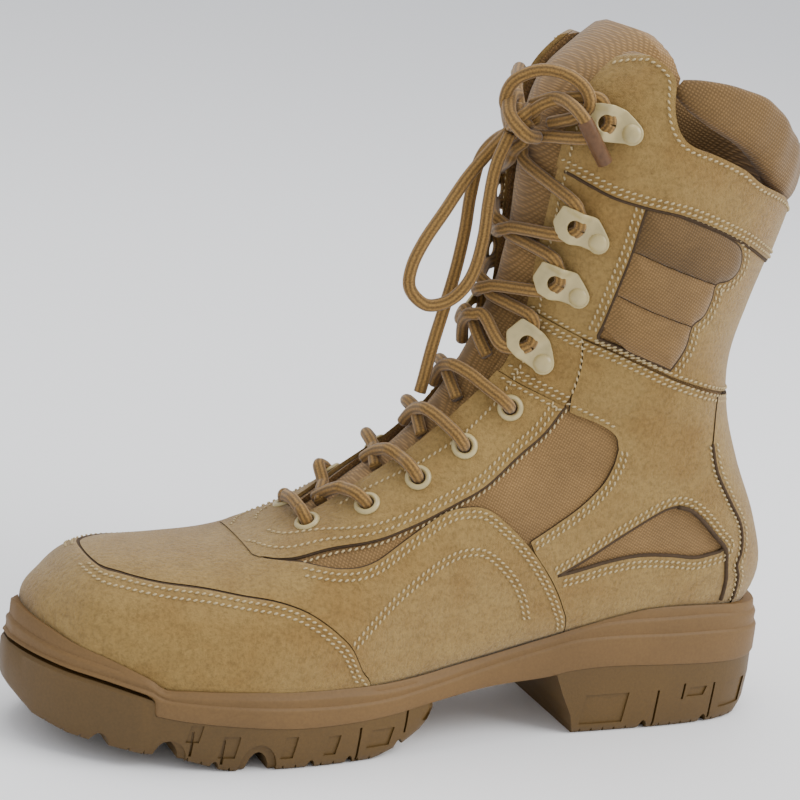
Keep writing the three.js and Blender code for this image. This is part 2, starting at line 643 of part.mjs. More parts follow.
// Sewn pieces: each a slice between two larger forms inside its own outline
const sewnFloor = aboveSole(raised(band('top'), GAP - RIM_LAP));
function slice(thick) {
  return form(GAP + thick).subtract(form(GAP)).intersect(sewnFloor);
}
const overlayBlank = slice(OVERLAY_THICK);
const vampBlank = slice(VAMP_THICK);
const cuffBlank = slice(CUFF_THICK);
// the same outline moved by a small seam gap, down its own plane
function shifted(places, dx, dh) {
  return places.map(([x, h]) => [x + dx / LENGTH, h + dh / SHAFT_RISE]);
}
const EDGE_CUT = 2.5;
const throatEdge = frontBlock(THROAT, EDGE_CUT);
const farFront = [[1.1, -0.2], [1.1, 0.4]];
addPiece('toe_cap', overlayBlank.intersect(sidePrism([...TOE_SEAM, ...farFront])), finish('suede'));

// The vamp runs back under the laces into both quarters
const foreCut = sidePrism([...shifted(TOE_SEAM, -SEAM_GAP, SEAM_GAP), ...farFront]);
const vampPlaces = [[0.740, 0.40], ...shifted(EYESTAY_LOW.slice(0, 3), SEAM_GAP, -SEAM_GAP), ...QUARTER_TOP,
  [1.0, -0.08], [1.0, 0.40]];
addPiece('vamp', vampBlank.intersect(sidePrism(vampPlaces)).subtract(foreCut).subtract(throatEdge), finish('suede'));

// Eyestays with their eyelet holes, and the bands above them that carry the first hook
const eyestayPlaces = [...EYESTAY_LOW, ...shifted(BAND_LOW.slice(1), 0, -SEAM_GAP), [0.60, 0.58], [0.735, 0.40]];
const bandFront = [[0.337, 0.568], [0.336, 0.518], [0.344, 0.465]];
const bandPlaces = [...BAND_TOP.slice(0, 3), ...bandFront, ...BAND_LOW];
const eyestayBlank = overlayBlank.intersect(sidePrism(eyestayPlaces)).subtract(throatEdge);
const eyestays = eyeletBores.reduce((body, bore) => body.subtract(bore), eyestayBlank);
const outer = prism([[-1, -1], [2, -1], [2, 2], [-1, 2]].map(([x, z]) => new THREE.Vector2(x * LENGTH, z * LENGTH)), 0, FAR);
const flanks = [['outer', 1], ['inner', -1]];
function onFlank(solid, flank) {
  return flank > 0 ? solid.intersect(outer) : solid.subtract(outer);
}
const bands = vampBlank.intersect(sidePrism(bandPlaces)).subtract(throatEdge);
for (const [name, flank] of flanks) {
  addPiece(`eyestay_${name}`, onFlank(eyestays, flank), finish('suede'));
  addPiece(`ankle_band_${name}`, onFlank(bands, flank), finish('suede'));
}

// Rear quarters around the heel windows, and the back strip between them
const rearTop = [[0.153, 0.464], [0.211, 0.492], [0.258, 0.518], [0.299, 0.542]];
const rearPlaces = [...rearTop, ...shifted(bandFront, -SEAM_GAP, 0), [0.348, 0.440], [0.308, 0.412], [0.284, 0.390],
  ...COUNTER_FRONT, ...shifted(QUARTER_TOP.slice(8), -SEAM_GAP, 0), [0.316, -0.08], [0.074, -0.08],
  ...shifted(BACK_SEAM.slice().reverse(), SEAM_GAP, 0)];
const windows = sidePrism(HEEL_WINDOW);
const rears = vampBlank.intersect(sidePrism(rearPlaces)).subtract(windows);
for (const [name, flank] of flanks) {
  addPiece(`rear_quarter_${name}`, onFlank(rears, flank), finish('suede'));
}
const backPlaces = [[-0.1, 0.43], [0.05, 0.436], [0.124, 0.457], [0.148, 0.464], ...BACK_SEAM, [-0.1, -0.08]];
addPiece('back_strip', overlayBlank.intersect(sidePrism(backPlaces)), finish('suede'));

// Shaft panel with a padded window each side, and the cuff over it
const shaftPlaces = [
  ...shifted(CUFF_LOW, 0, -SEAM_GAP), [-0.1, 0.60], [-0.1, 0.44],
  ...shifted(BAND_TOP, 0, SEAM_GAP).reverse(), [0.50, 0.72],
];
const shaftWindow = sidePrism(SHAFT_WINDOW);
const shaftBody = vampBlank.intersect(sidePrism(shaftPlaces)).subtract(shaftWindow).subtract(throatEdge);
addPiece('shaft_panel', shaftBody, finish('suede'));
const cuffPlaces = [...CUFF_LOW, [-0.1, 0.60], [-0.1, 0.9], [0.2, 1.2], [0.5, 1.2]];
const cuffBody = cuffBlank.intersect(sidePrism(cuffPlaces)).subtract(collarPrism).subtract(throatEdge);
addPiece('cuff', cuffBody, finish('suede'));

// Three stuffed channels in each shaft window
function inset(places, by) {
  const points = places.map(([x, h]) => new THREE.Vector2(x * LENGTH, h * SHAFT_RISE));
  const centre = points.reduce((sum, p) => sum.add(p), new THREE.Vector2()).divideScalar(points.length);
  return points.map(p => {
    const arm = p.clone().sub(centre);
    const moved = centre.clone().add(arm.setLength(arm.length() - by));
    return [moved.x / LENGTH, moved.y / SHAFT_RISE];
  });
}
const padLines = [
  [[0.34, 0.90], [0.12, 0.90]],
  ...PAD_JOINTS,
  [[0.34, 0.45], [0.12, 0.45]],
];
const padBlank = form(GAP + PAD_THICK).subtract(form(GAP)).intersect(sidePrism(inset(SHAFT_WINDOW, SEAM_GAP)));
for (const [name, flank] of flanks) {
  for (let i = 0; i < 3; i += 1) {
    const channel = [...shifted(padLines[i], 0, -SEAM_GAP / 2), ...shifted(padLines[i + 1], 0, SEAM_GAP / 2).reverse()];
    addPiece(`shaft_pad_${name}_${i + 1}`, onFlank(padBlank.intersect(sidePrism(channel)), flank), finish('nylon'));
  }
}

// Padded collar roll from one tab round the back to the other
const ROLL_STEPS = 20;
const ROLL_ROUND = 10;
const ROLL_TAPER = 0.35;
const rollRings = Array.from({ length: ROLL_STEPS + 1 }, (_, i) => {
  const turn = 1 - 2 * i / ROLL_STEPS;
  const angle = THREE.MathUtils.degToRad(COLLAR_ROLL.reach) * turn;
  const full = ROLL_TAPER + (1 - ROLL_TAPER) * (1 - Math.abs(turn) ** 6);
  const middle = (COLLAR_ROLL.low + COLLAR_ROLL.high) / 2;
  const half = (COLLAR_ROLL.high - COLLAR_ROLL.low) / 2;
  return Array.from({ length: ROLL_ROUND }, (__, j) => {
    const round = j / ROLL_ROUND * 2 * Math.PI;
    const up = Math.sign(Math.cos(round)) * Math.abs(Math.cos(round)) ** 0.7;
    const out = Math.sign(Math.sin(round)) * Math.abs(Math.sin(round)) ** 0.7;
    const grow = COLLAR_ROLL.outer - ROLL_THICK / 2 + out * full * ROLL_THICK / 2;
    return formPoint(middle + up * half * full, angle, grow);
  });
});
const rollRoom = prism(collarCut.map(p => p.clone().add(new THREE.Vector2(-SEAM_GAP, SEAM_GAP))));
addPiece('collar_roll', skin(rollRings).intersect(rollRoom), finish('nylon'));

// Eyelets: flat rings over the eyestay
const metalLift = under => GAP + under + METAL_SEAT - SKIN_PLACE;
const RIM_SLOPE = 1.2;
const RIM_INNER_SHARE = 0.7;
function eyelet(place, flank) {
  const outerEdge = EYELET_OUTER / 2;
  const innerEdge = EYELET_HOLE / 2;
  const profile = [[innerEdge, 0], [outerEdge, 0], [outerEdge - RIM_SLOPE, EYELET_RISE],
    [innerEdge, EYELET_RISE * RIM_INNER_SHARE], [innerEdge, 0]].map(([x, y]) => new THREE.Vector2(x, y));
  const ring = new THREE.LatheGeometry(profile, EYELET_SIDES);
  ring.rotateX(Math.PI / 2);
  return toSolid(placeOn(ring, place, flank, metalLift(OVERLAY_THICK)));
}

// Hooks: a plate that narrows from its lacing end to its rivet
const HOOK_SEAT = 0.2;
const RIVET_MARGIN = 0.8;
const RIVET_RISE = 0.7;
const RIVET_TALL = 1.6;
const RIVET_TAPER = 0.9;
function hook({ hole, rivet, under }, flank) {
  const lift = metalLift(under) + HOOK_SEAT;
  const from = side(hole);
  const run = side(rivet).sub(from);
  const front = HOOK_WIDTH / 2;
  const rear = RIVET_HEAD / 2 + RIVET_MARGIN;
  const span = HOOK_LENGTH - front - rear;
  const shape = new THREE.Shape();
  shape.absarc(0, 0, front, Math.PI * 0.42, Math.PI * 1.58, false);
  shape.absarc(span, 0, rear, -Math.PI * 0.42, Math.PI * 0.42, false);
  const opening = new THREE.Path();
  opening.absarc(0, 0, HOOK_HOLE / 2, 0, 2 * Math.PI, true);
  shape.holes.push(opening);
  const plate = new THREE.ExtrudeGeometry(shape, { depth: HOOK_THICK, bevelEnabled: false, curveSegments: 3 });
  const head = new THREE.CylinderGeometry(RIVET_HEAD / 2 - RIVET_TAPER, RIVET_HEAD / 2, RIVET_TALL, 6);
  head.rotateX(Math.PI / 2);
  head.translate(span, 0, HOOK_THICK + RIVET_RISE);
  const both = [plate, head].map(piece => toSolid(placeOn(piece, hole, flank, lift, [run.x, run.y])));
  return both[0].add(both[1]);
}
for (const [name, flank] of flanks) {
  EYELETS.forEach((place, i) => addPiece(`eyelet_${name}_${i + 1}`, eyelet(place, flank), finish('metal', 0.5, 0.2)));
  HOOKS.forEach((row, i) => addPiece(`hook_${name}_${i + 1}`, hook(row, flank), finish('metal', 0.45, 0.2)));
}

// Lacing: each half crosses the tongue from under one edge of the throat to the other side
const CROSS_SIDES = 6;
const CROSS_STEPS = 5;
function tube(points, steps, sides, radius = LACE / 2) {
  const section = new THREE.Shape();
  section.absarc(0, 0, radius, 0, 2 * Math.PI, false);
  const path = new THREE.CatmullRomCurve3(points);
  const options = { steps, bevelEnabled: false, extrudePath: path, curveSegments: sides / 2 };
  return toSolid(new THREE.ExtrudeGeometry(section, options));
}
const EDGE_INSET = 2.3;
const EDGE_KEEP = LACE / 2 + EDGE_INSET;
const TONGUE_PRESS = 0.05;
const TONGUE_RIDE = LACE / 2 - WALL - TONGUE_PRESS;
const METAL_RIDE = SEAM_GAP + OVERLAY_THICK + METAL_SEAT + EYELET_RISE + SEAM_GAP + LACE / 2;
const EDGE_RIDE = GAP + CUFF_THICK + GAP + LACE / 2;
function throatAngle(t, inside) {
  const { lateral, medial, high } = sectionAt(t);
  const half = between(THROAT, 't', t, 'half') * BALL_WIDTH - inside;
  const share = THREE.MathUtils.clamp(2 * half / ((lateral + medial) * BALL_WIDTH), 0, 1);
  return Math.PI - Math.asin(share ** (high / 2));
}
function mirrored(angle, flank) {
  return flank > 0 ? angle : 2 * Math.PI - angle;
}
function crossing(low, high, flank, ride) {
  const from = mirrored(throatAngle(low.t, EDGE_KEEP), -flank);
  const to = mirrored(high.angle, flank);
  const points = Array.from({ length: CROSS_STEPS + 1 }, (_, i) => {
    const u = i / CROSS_STEPS;
    const grow = TONGUE_RIDE + (ride - TONGUE_RIDE) * THREE.MathUtils.smoothstep(u, 0, RISE_END);
    return formPoint(low.t + (high.t - low.t) * u, from + (to - from) * u, grow);
  });
  return tube(points, CROSS_STEPS, CROSS_SIDES);
}
const lacePlaces = [...EYELETS, ...HOOKS.map(row => row.hole)].map(place => locate(place, 1));
const UNDER_STEP = 0.35;
const RISE_END = 0.55;
lacePlaces.slice(1).forEach((place, i) => {
  const low = { t: lacePlaces[i].t + UNDER_STEP };
  const hooked = i + 1 >= EYELETS.length;
  const high = { t: place.t, angle: hooked ? throatAngle(place.t, 0) : place.angle };
  const halves = [1, -1].map(flank => crossing(low, high, flank, hooked ? EDGE_RIDE : METAL_RIDE));
  addPiece(`lace_cross_${i + 1}`, halves[0].add(halves[1]), finish('lace'));
});

// The bar across the lowest eyelets
const BAR_RISE = [0, 0.3, 1.6, 1.9, 1.6, 0.3, 0];
const firstEyelet = lacePlaces[0];
const barAngle = firstEyelet.angle;
const barPoints = BAR_RISE.map((rise, i) => {
  const angle = barAngle + (2 * Math.PI - 2 * barAngle) * i / (BAR_RISE.length - 1);
  return formPoint(firstEyelet.t, angle, METAL_RIDE + rise);
});
addPiece('lace_bar', tube(barPoints, BAR_RISE.length - 1, CROSS_SIDES), finish('lace'));

// The bow in front of the top hooks: knot, two loops and two ends. Shares of LENGTH, BALL_WIDTH
// and SHAFT_RISE above the floor.
const KNOT = { x: 0.426, y: 0.130, z: 1.117, radius: 7 };
const BOW_LINES = {
  lace_loop_upper: [
    [0.430, 0.074, 1.114], [0.445, 0.093, 1.146], [0.441, 0.130, 1.184], [0.419, 0.185, 1.207],
    [0.396, 0.250, 1.207], [0.378, 0.306, 1.189], [0.373, 0.333, 1.162], [0.380, 0.287, 1.137],
    [0.394, 0.167, 1.115],
  ],
  lace_loop_hanging: [
    [0.433, 0.100, 1.098], [0.447, 0.028, 1.050], [0.474, 0.028, 1.000], [0.502, 0.046, 0.941],
    [0.525, 0.056, 0.891], [0.538, 0.056, 0.845], [0.538, 0.056, 0.805], [0.517, 0.065, 0.777],
    [0.492, 0.074, 0.782], [0.474, 0.093, 0.807], [0.460, 0.093, 0.845], [0.453, 0.093, 0.905],
    [0.453, 0.102, 0.968], [0.450, 0.111, 1.032], [0.438, 0.120, 1.090],
  ],
  lace_end_long: [
    [0.423, 0.093, 1.095], [0.433, -0.014, 1.068], [0.447, -0.046, 1.029], [0.456, -0.037, 0.966],
    [0.460, -0.028, 0.902], [0.468, -0.019, 0.830], [0.480, -0.009, 0.758], [0.491, 0.000, 0.695],
    [0.500, 0.009, 0.631], [0.503, 0.009, 0.609],
  ],
  lace_end_short: [
    [0.414, 0.130, 1.144], [0.401, 0.231, 1.164], [0.394, 0.315, 1.159], [0.388, 0.380, 1.143],
    [0.381, 0.384, 1.127],
  ],
};
const CORD_SIDES = 8;
const CORD_STEP = 2.5 * LACE;
const bowPoint = ([x, y, z]) => new THREE.Vector3(x * LENGTH, y * BALL_WIDTH, z * SHAFT_RISE);
const KNOT_SEAT = 1.5;
const BOW_CLEAR = GAP + CUFF_THICK + GAP + LACE + KNOT_SEAT;
const knotPlace = bowPoint([KNOT.x, KNOT.y, KNOT.z]);
function ball(radius) {
  const sphere = new THREE.SphereGeometry(radius, 10, 6);
  sphere.translate(...knotPlace.toArray());
  return toSolid(sphere);
}
let taken = form(BOW_CLEAR).add(ball(KNOT.radius + GAP));
const cords = new THREE.Group();
boot.add(cords);
for (const [name, rows] of Object.entries(BOW_LINES)) {
  const points = rows.map(bowPoint);
  const length = new THREE.CatmullRomCurve3(points).getLength();
  const steps = Math.ceil(length / CORD_STEP);
  cords.add(addPiece(name, tube(points, steps, CORD_SIDES).subtract(taken), finish('lace')));
  taken = taken.add(tube(points, steps, CORD_SIDES, LACE / 2 + GAP));
}
cords.add(addPiece('lace_knot', ball(KNOT.radius).subtract(form(BOW_CLEAR)), finish('lace')));

// Tips of the two ends
const AGLET = { width: 6.2, length: 16, sides: 8 };
function aglet(name) {
  const rows = BOW_LINES[name];
  const [before, end] = rows.slice(-2).map(bowPoint);
  const along = end.clone().sub(before).normalize();
  const rod = new THREE.CylinderGeometry(AGLET.width / 2, AGLET.width / 2, AGLET.length, AGLET.sides);
  rod.applyQuaternion(new THREE.Quaternion().setFromUnitVectors(new THREE.Vector3(0, 1, 0), along));
  rod.translate(...end.clone().addScaledVector(along, AGLET.length / 2 + GAP).toArray());
  return toSolid(rod);
}
cords.add(addPiece('aglet_short', aglet('lace_end_short'), finish('aglet', 0.5)));

// The whole boot stands with the middle of its box over the origin
const box = new THREE.Box3().setFromObject(boot);
const middle = box.getCenter(new THREE.Vector3());
boot.position.set(-middle.x, -middle.y, -box.min.z);

export default boot;
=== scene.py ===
"""Looks of a left desert combat boot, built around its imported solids."""

import json
import math

import bmesh
import bpy
import numpy as np
from bpy.props import FloatProperty, FloatVectorProperty, PointerProperty
from mathutils import Matrix, Vector

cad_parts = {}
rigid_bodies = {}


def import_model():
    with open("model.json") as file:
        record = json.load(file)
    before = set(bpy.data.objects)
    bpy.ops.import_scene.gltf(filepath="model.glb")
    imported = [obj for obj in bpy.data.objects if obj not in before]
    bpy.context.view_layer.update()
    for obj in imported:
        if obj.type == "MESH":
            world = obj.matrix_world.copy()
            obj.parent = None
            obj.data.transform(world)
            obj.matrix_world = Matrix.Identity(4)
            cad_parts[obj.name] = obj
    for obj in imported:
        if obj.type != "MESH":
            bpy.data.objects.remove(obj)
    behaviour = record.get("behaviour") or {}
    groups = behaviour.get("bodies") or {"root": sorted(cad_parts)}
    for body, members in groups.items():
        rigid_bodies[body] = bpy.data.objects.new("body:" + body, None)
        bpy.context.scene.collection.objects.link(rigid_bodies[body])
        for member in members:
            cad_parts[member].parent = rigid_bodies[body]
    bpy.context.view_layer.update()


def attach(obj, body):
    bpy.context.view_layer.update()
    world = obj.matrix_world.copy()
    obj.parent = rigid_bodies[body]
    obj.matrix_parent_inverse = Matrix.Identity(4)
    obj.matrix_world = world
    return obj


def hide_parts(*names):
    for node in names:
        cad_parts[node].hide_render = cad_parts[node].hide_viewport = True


bl_info = {
    "name": "Desert combat boot",
    "version": (1, 0, 0),
    "blender": (4, 5, 0),
    "location": "View3D > Sidebar > Boot",
    "description": "Sewn upper, moulded sole, lacing metal and laces of a combat boot",
    "category": "Add Mesh",
}

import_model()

# Sizes of the last in millimetres, and the row frame's origin in them
LENGTH = 318.0
BALL_WIDTH = 108.0
SHAFT_RISE = 220.0
HEEL_BED = 40.0
BALL_BED = 21.0
TOE_SPRING = 13.0
SOLE_HEIGHT = 53.0
ORIGIN = np.array([159.3458, 0.9720, 0.0])
GAP = 0.3
WALL = 2.2
BUMPER_WALL = 4.6

# backX, backH, frontX, frontH, lateral, medial, wide, low, high
SECTIONS = np.array([
    [0.976, 0.069, 0.976, 0.069, -0.083, 0.083, 0.50, 2.0, 2.0],
    [0.970, 0.040, 0.969, 0.109, 0.028, 0.185, 0.45, 2.5, 2.2],
    [0.956, 0.023, 0.948, 0.146, 0.130, 0.259, 0.42, 3.2, 2.2],
    [0.931, 0.009, 0.918, 0.188, 0.236, 0.333, 0.40, 4.0, 2.3],
    [0.890, 0.003, 0.874, 0.214, 0.324, 0.389, 0.38, 4.6, 2.4],
    [0.824, -0.002, 0.808, 0.230, 0.407, 0.431, 0.36, 5.0, 2.4],
    [0.745, 0.000, 0.726, 0.250, 0.458, 0.444, 0.34, 5.0, 2.3],
    [0.676, 0.000, 0.654, 0.293, 0.463, 0.426, 0.32, 5.0, 2.1],
    [0.597, 0.003, 0.585, 0.358, 0.440, 0.384, 0.30, 5.0, 2.0],
    [0.503, -0.001, 0.525, 0.418, 0.398, 0.324, 0.30, 4.8, 2.0],
    [0.393, -0.007, 0.487, 0.476, 0.370, 0.306, 0.31, 4.5, 2.0],
    [0.267, -0.009, 0.462, 0.526, 0.352, 0.315, 0.34, 4.0, 2.0],
    [0.151, 0.000, 0.443, 0.574, 0.347, 0.329, 0.38, 3.6, 2.0],
    [0.057, 0.009, 0.431, 0.619, 0.352, 0.338, 0.42, 3.1, 2.0],
    [0.016, 0.082, 0.418, 0.665, 0.361, 0.347, 0.45, 2.7, 2.0],
    [0.031, 0.182, 0.412, 0.708, 0.370, 0.356, 0.46, 2.5, 2.0],
    [0.066, 0.291, 0.406, 0.751, 0.380, 0.366, 0.47, 2.3, 2.0],
    [0.094, 0.400, 0.403, 0.800, 0.394, 0.380, 0.47, 2.2, 2.0],
    [0.101, 0.505, 0.399, 0.859, 0.407, 0.398, 0.47, 2.2, 2.1],
    [0.085, 0.614, 0.396, 0.921, 0.426, 0.417, 0.47, 2.2, 2.1],
    [0.063, 0.723, 0.390, 0.983, 0.444, 0.435, 0.47, 2.2, 2.2],
    [0.050, 0.823, 0.371, 1.037, 0.454, 0.444, 0.47, 2.3, 2.2],
    [0.047, 0.923, 0.333, 1.078, 0.458, 0.449, 0.47, 2.3, 2.2],
    [0.050, 1.023, 0.296, 1.110, 0.458, 0.449, 0.47, 2.3, 2.2],
    [0.053, 1.123, 0.262, 1.135, 0.458, 0.449, 0.47, 2.3, 2.2],
])
LAST_SECTION = len(SECTIONS) - 1.0

# Outline of the sole: x, outer edge, inner edge
OUTLINE = np.array([
    [0.000, 0.093, -0.093], [0.005, 0.157, -0.157], [0.019, 0.231, -0.227], [0.047, 0.296, -0.282],
    [0.088, 0.338, -0.319], [0.157, 0.361, -0.338], [0.252, 0.368, -0.338], [0.346, 0.370, -0.315],
    [0.425, 0.389, -0.306], [0.503, 0.429, -0.333], [0.566, 0.468, -0.380], [0.629, 0.497, -0.435],
    [0.692, 0.509, -0.477], [0.755, 0.502, -0.491], [0.818, 0.465, -0.481], [0.868, 0.412, -0.449],
    [0.912, 0.333, -0.394], [0.950, 0.236, -0.315], [0.975, 0.139, -0.236], [0.991, 0.046, -0.171],
    [1.000, -0.037, -0.120],
])
# x, parting, ridge, rib, top
SIDE_BANDS = np.array([
    [0.000, 0.49, 0.70, 0.81, 0.91], [0.088, 0.51, 0.75, 0.88, 0.97], [0.157, 0.53, 0.76, 0.89, 0.99],
    [0.252, 0.55, 0.77, 0.88, 0.98], [0.308, 0.53, 0.75, 0.82, 0.88], [0.346, 0.49, 0.70, 0.76, 0.81],
    [0.425, 0.46, 0.60, 0.66, 0.72], [0.503, 0.40, 0.51, 0.56, 0.62], [0.566, 0.35, 0.46, 0.52, 0.585],
    [0.629, 0.33, 0.45, 0.53, 0.585], [0.692, 0.327, 0.46, 0.535, 0.595], [0.755, 0.355, 0.48, 0.55, 0.60],
    [0.818, 0.385, 0.50, 0.555, 0.60], [0.852, 0.41, 0.52, 0.565, 0.60], [0.868, 0.43, 0.57, 0.62, 0.66],
    [0.912, 0.49, 0.63, 0.69, 0.765], [0.950, 0.53, 0.66, 0.73, 0.83], [0.975, 0.55, 0.68, 0.76, 0.89],
    [1.000, 0.57, 0.70, 0.80, 0.94],
])
BUMPER_START = 0.860
TREAD = np.array([
    [0.000, 0.22], [0.010, 0.09], [0.038, 0.0], [0.330, 0.0], [0.503, 0.26], [0.516, 0.17],
    [0.541, 0.075], [0.579, 0.0], [0.774, 0.0], [0.818, 0.066], [0.865, 0.104], [0.912, 0.136],
    [0.950, 0.16], [0.981, 0.21], [1.000, 0.32],
])
HEEL_BREAST = [(0.292, -0.02), (0.300, 0.16), (0.314, 0.32), (0.327, 0.50)]
# Half width of the throat and of the tongue along the sections
THROAT = np.array([
    [6.95, 0.030], [7.10, 0.060], [7.50, 0.075], [8.0, 0.090], [9.0, 0.125], [10.0, 0.148], [12.0, 0.158],
    [14.0, 0.148], [16.0, 0.148], [18.0, 0.176], [20.0, 0.204], [21.0, 0.215], [23.0, 0.220],
])
TONGUE = np.array([
    [6.2, 0.170], [7.0, 0.250], [9.0, 0.290], [12.0, 0.300], [16.0, 0.310], [20.0, 0.340], [21.5, 0.350],
    [22.0, 0.335], [22.4, 0.290], [22.7, 0.215], [22.9, 0.110],
])

# Seams in the side view: x, and h above the footbed
TOE_SEAM = [(0.935, 0.30), (0.925, 0.215), (0.911, 0.197), (0.886, 0.200), (0.844, 0.203), (0.798, 0.206),
            (0.757, 0.202), (0.719, 0.197), (0.690, 0.186), (0.667, 0.169), (0.644, 0.144), (0.625, 0.116),
            (0.609, 0.073), (0.593, 0.032), (0.590, -0.08)]
EYESTAY_LOW = [(0.735, 0.33), (0.730, 0.256), (0.715, 0.250), (0.683, 0.256), (0.638, 0.276), (0.585, 0.290),
               (0.538, 0.304), (0.489, 0.322), (0.449, 0.339), (0.406, 0.377), (0.377, 0.404), (0.350, 0.446)]
BAND_LOW = [(0.350, 0.446), (0.405, 0.497), (0.437, 0.531), (0.50, 0.58)]
REAR_TOP = [(0.350, 0.446), (0.308, 0.414), (0.284, 0.395), (0.215, 0.385), (0.147, 0.372)]
BAND_TOP = [(0.48, 0.690), (0.417, 0.644), (0.374, 0.601), (0.337, 0.568), (0.299, 0.546), (0.258, 0.522),
            (0.211, 0.496), (0.124, 0.461), (0.05, 0.44), (-0.1, 0.44)]
QUARTER_TOP = [(0.678, 0.250), (0.633, 0.246), (0.597, 0.253), (0.556, 0.278), (0.506, 0.308), (0.477, 0.310),
               (0.447, 0.296), (0.415, 0.252), (0.381, 0.193), (0.352, 0.130), (0.333, 0.077), (0.322, 0.031),
               (0.318, -0.08)]
INNER_ARCH = [(0.625, 0.124), (0.591, 0.169), (0.548, 0.208), (0.503, 0.234), (0.473, 0.237), (0.445, 0.222),
              (0.412, 0.173), (0.390, 0.121), (0.378, 0.067)]
COUNTER_FRONT = [(0.278, 0.364), (0.282, 0.334), (0.294, 0.299), (0.321, 0.262), (0.355, 0.235),
                 (0.387, 0.216)]
HEEL_WINDOW = [(0.345, 0.137), (0.306, 0.161), (0.268, 0.194), (0.228, 0.230), (0.205, 0.249), (0.187, 0.256),
               (0.170, 0.250), (0.150, 0.230), (0.124, 0.194), (0.106, 0.168), (0.131, 0.157), (0.153, 0.153),
               (0.187, 0.159), (0.231, 0.161), (0.274, 0.152), (0.316, 0.140)]
BACK_SEAM = [(0.150, 0.375), (0.137, 0.321), (0.110, 0.263), (0.085, 0.212), (0.077, 0.163), (0.080, 0.131),
             (0.071, 0.089), (0.070, -0.08)]
HEEL_PIPE = [(0.187, 0.256), (0.170, 0.250), (0.150, 0.230), (0.124, 0.194), (0.106, 0.168), (0.099, 0.131),
             (0.094, 0.089), (0.093, -0.04)]
BAND_SEAM = [(0.337, 0.568), (0.336, 0.518), (0.344, 0.465)]
SHAFT_WINDOW = [(0.293, 0.809), (0.302, 0.730), (0.312, 0.651), (0.321, 0.569), (0.279, 0.544),
                (0.227, 0.517), (0.214, 0.564), (0.210, 0.601), (0.195, 0.619), (0.188, 0.650),
                (0.186, 0.678), (0.166, 0.684), (0.153, 0.702), (0.154, 0.729), (0.163, 0.748),
                (0.189, 0.768), (0.227, 0.787), (0.261, 0.803)]
PAD_JOINTS = [[(0.34, 0.90), (0.12, 0.90)],
              [(0.33, 0.740), (0.299, 0.731), (0.260, 0.710), (0.193, 0.679), (0.12, 0.650)],
              [(0.33, 0.658), (0.310, 0.651), (0.271, 0.627), (0.215, 0.601), (0.12, 0.560)],
              [(0.34, 0.45), (0.12, 0.45)]]
CUFF_LOW = [(0.45, 0.930), (0.382, 0.876), (0.360, 0.855), (0.331, 0.830), (0.295, 0.814), (0.239, 0.799),
            (0.164, 0.760), (0.10, 0.715), (0.0, 0.650), (-0.1, 0.600)]
COLLAR_TOP = [(-0.05, 0.780), (0.05, 0.795), (0.10, 0.835), (0.148, 0.862), (0.177, 0.887), (0.215, 0.909),
              (0.254, 0.927), (0.271, 0.954), (0.277, 0.990), (0.277, 1.038), (0.295, 1.066), (0.311, 1.068),
              (0.337, 1.060), (0.357, 1.040), (0.367, 1.020), (0.45, 1.000)]
EYELETS = [(0.653, 0.295), (0.589, 0.335), (0.529, 0.370), (0.473, 0.409), (0.416, 0.457)]
HOOKS = [((0.395, 0.564), (0.372, 0.530), 1.0), ((0.370, 0.674), (0.347, 0.659), 1.0),
         ((0.360, 0.776), (0.337, 0.761), 1.0), ((0.344, 0.956), (0.321, 0.945), 1.8)]


# Geometry of the last
def smooth(value, low=0.0, high=1.0):
    k = np.clip((np.asarray(value, float) - low) / (high - low), 0, 1)
    return k * k * (3 - 2 * k)


def bed_height(x):
    arch = smooth(0.64 - np.asarray(x, float), 0, 0.36)
    toe = np.clip((np.asarray(x, float) - 0.74) / 0.26, 0, None)
    return BALL_BED + (HEEL_BED - BALL_BED) * arch + TOE_SPRING * toe * toe


def side(places):
    p = np.asarray(places, float).reshape(-1, 2)
    return np.stack([p[:, 0] * LENGTH, bed_height(p[:, 0]) + p[:, 1] * SHAFT_RISE], 1)


def rows_at(t):
    t = np.clip(np.asarray(t, float), 0, LAST_SECTION)
    i = np.minimum(np.floor(t).astype(int), int(LAST_SECTION) - 1)
    k = (t - i)[..., None]
    a, b, c, d = (SECTIONS[np.clip(i + n, 0, int(LAST_SECTION))] for n in (-1, 0, 1, 2))
    return b + 0.5 * k * (c - a + k * (2 * a - 5 * b + 4 * c - d + k * (3 * (b - c) + d - a)))


def ends_at(t, grow):
    row, before, after = rows_at(t), rows_at(np.asarray(t) - 0.05), rows_at(np.asarray(t) + 0.05)
    found = []
    for column, turn in ((0, -1), (2, 1)):
        here, low, high = (np.stack([r[..., column] * LENGTH,
                                     bed_height(r[..., column]) + r[..., column + 1] * SHAFT_RISE], -1)
                           for r in (row, before, after))
        along = high - low
        along /= np.maximum(np.linalg.norm(along, axis=-1, keepdims=True), 1e-9)
        out = np.stack([along[..., 1], -along[..., 0]], -1)
        found.append(here + out * turn * np.asarray(grow)[..., None])
    return row, found[0], found[1]


def form(t, angle, grow):
    """Points of the last grown outwards, for arrays of one shape."""
    t, angle, grow = np.broadcast_arrays(*(np.asarray(values, float) for values in (t, angle, grow)))
    row, back, front = ends_at(t, grow)
    lateral, medial, wide, low, high = (row[..., i] for i in range(4, 9))
    c = np.cos(angle)
    power = np.where(c > 0, low, high)
    step = np.abs(c) ** (2 / power)
    s = np.where(c > 0, wide * (1 - step), wide + (1 - wide) * step)
    middle = (lateral - medial) / 2 * BALL_WIDTH
    half = (lateral + medial) / 2 * BALL_WIDTH
    out = (half + grow * np.minimum(1, half / 12)) * np.abs(np.sin(angle)) ** (2 / power)
    at = back + (front - back) * s[..., None]
    return np.stack([at[..., 0], middle + np.sign(np.sin(angle)) * out, at[..., 1]], -1)


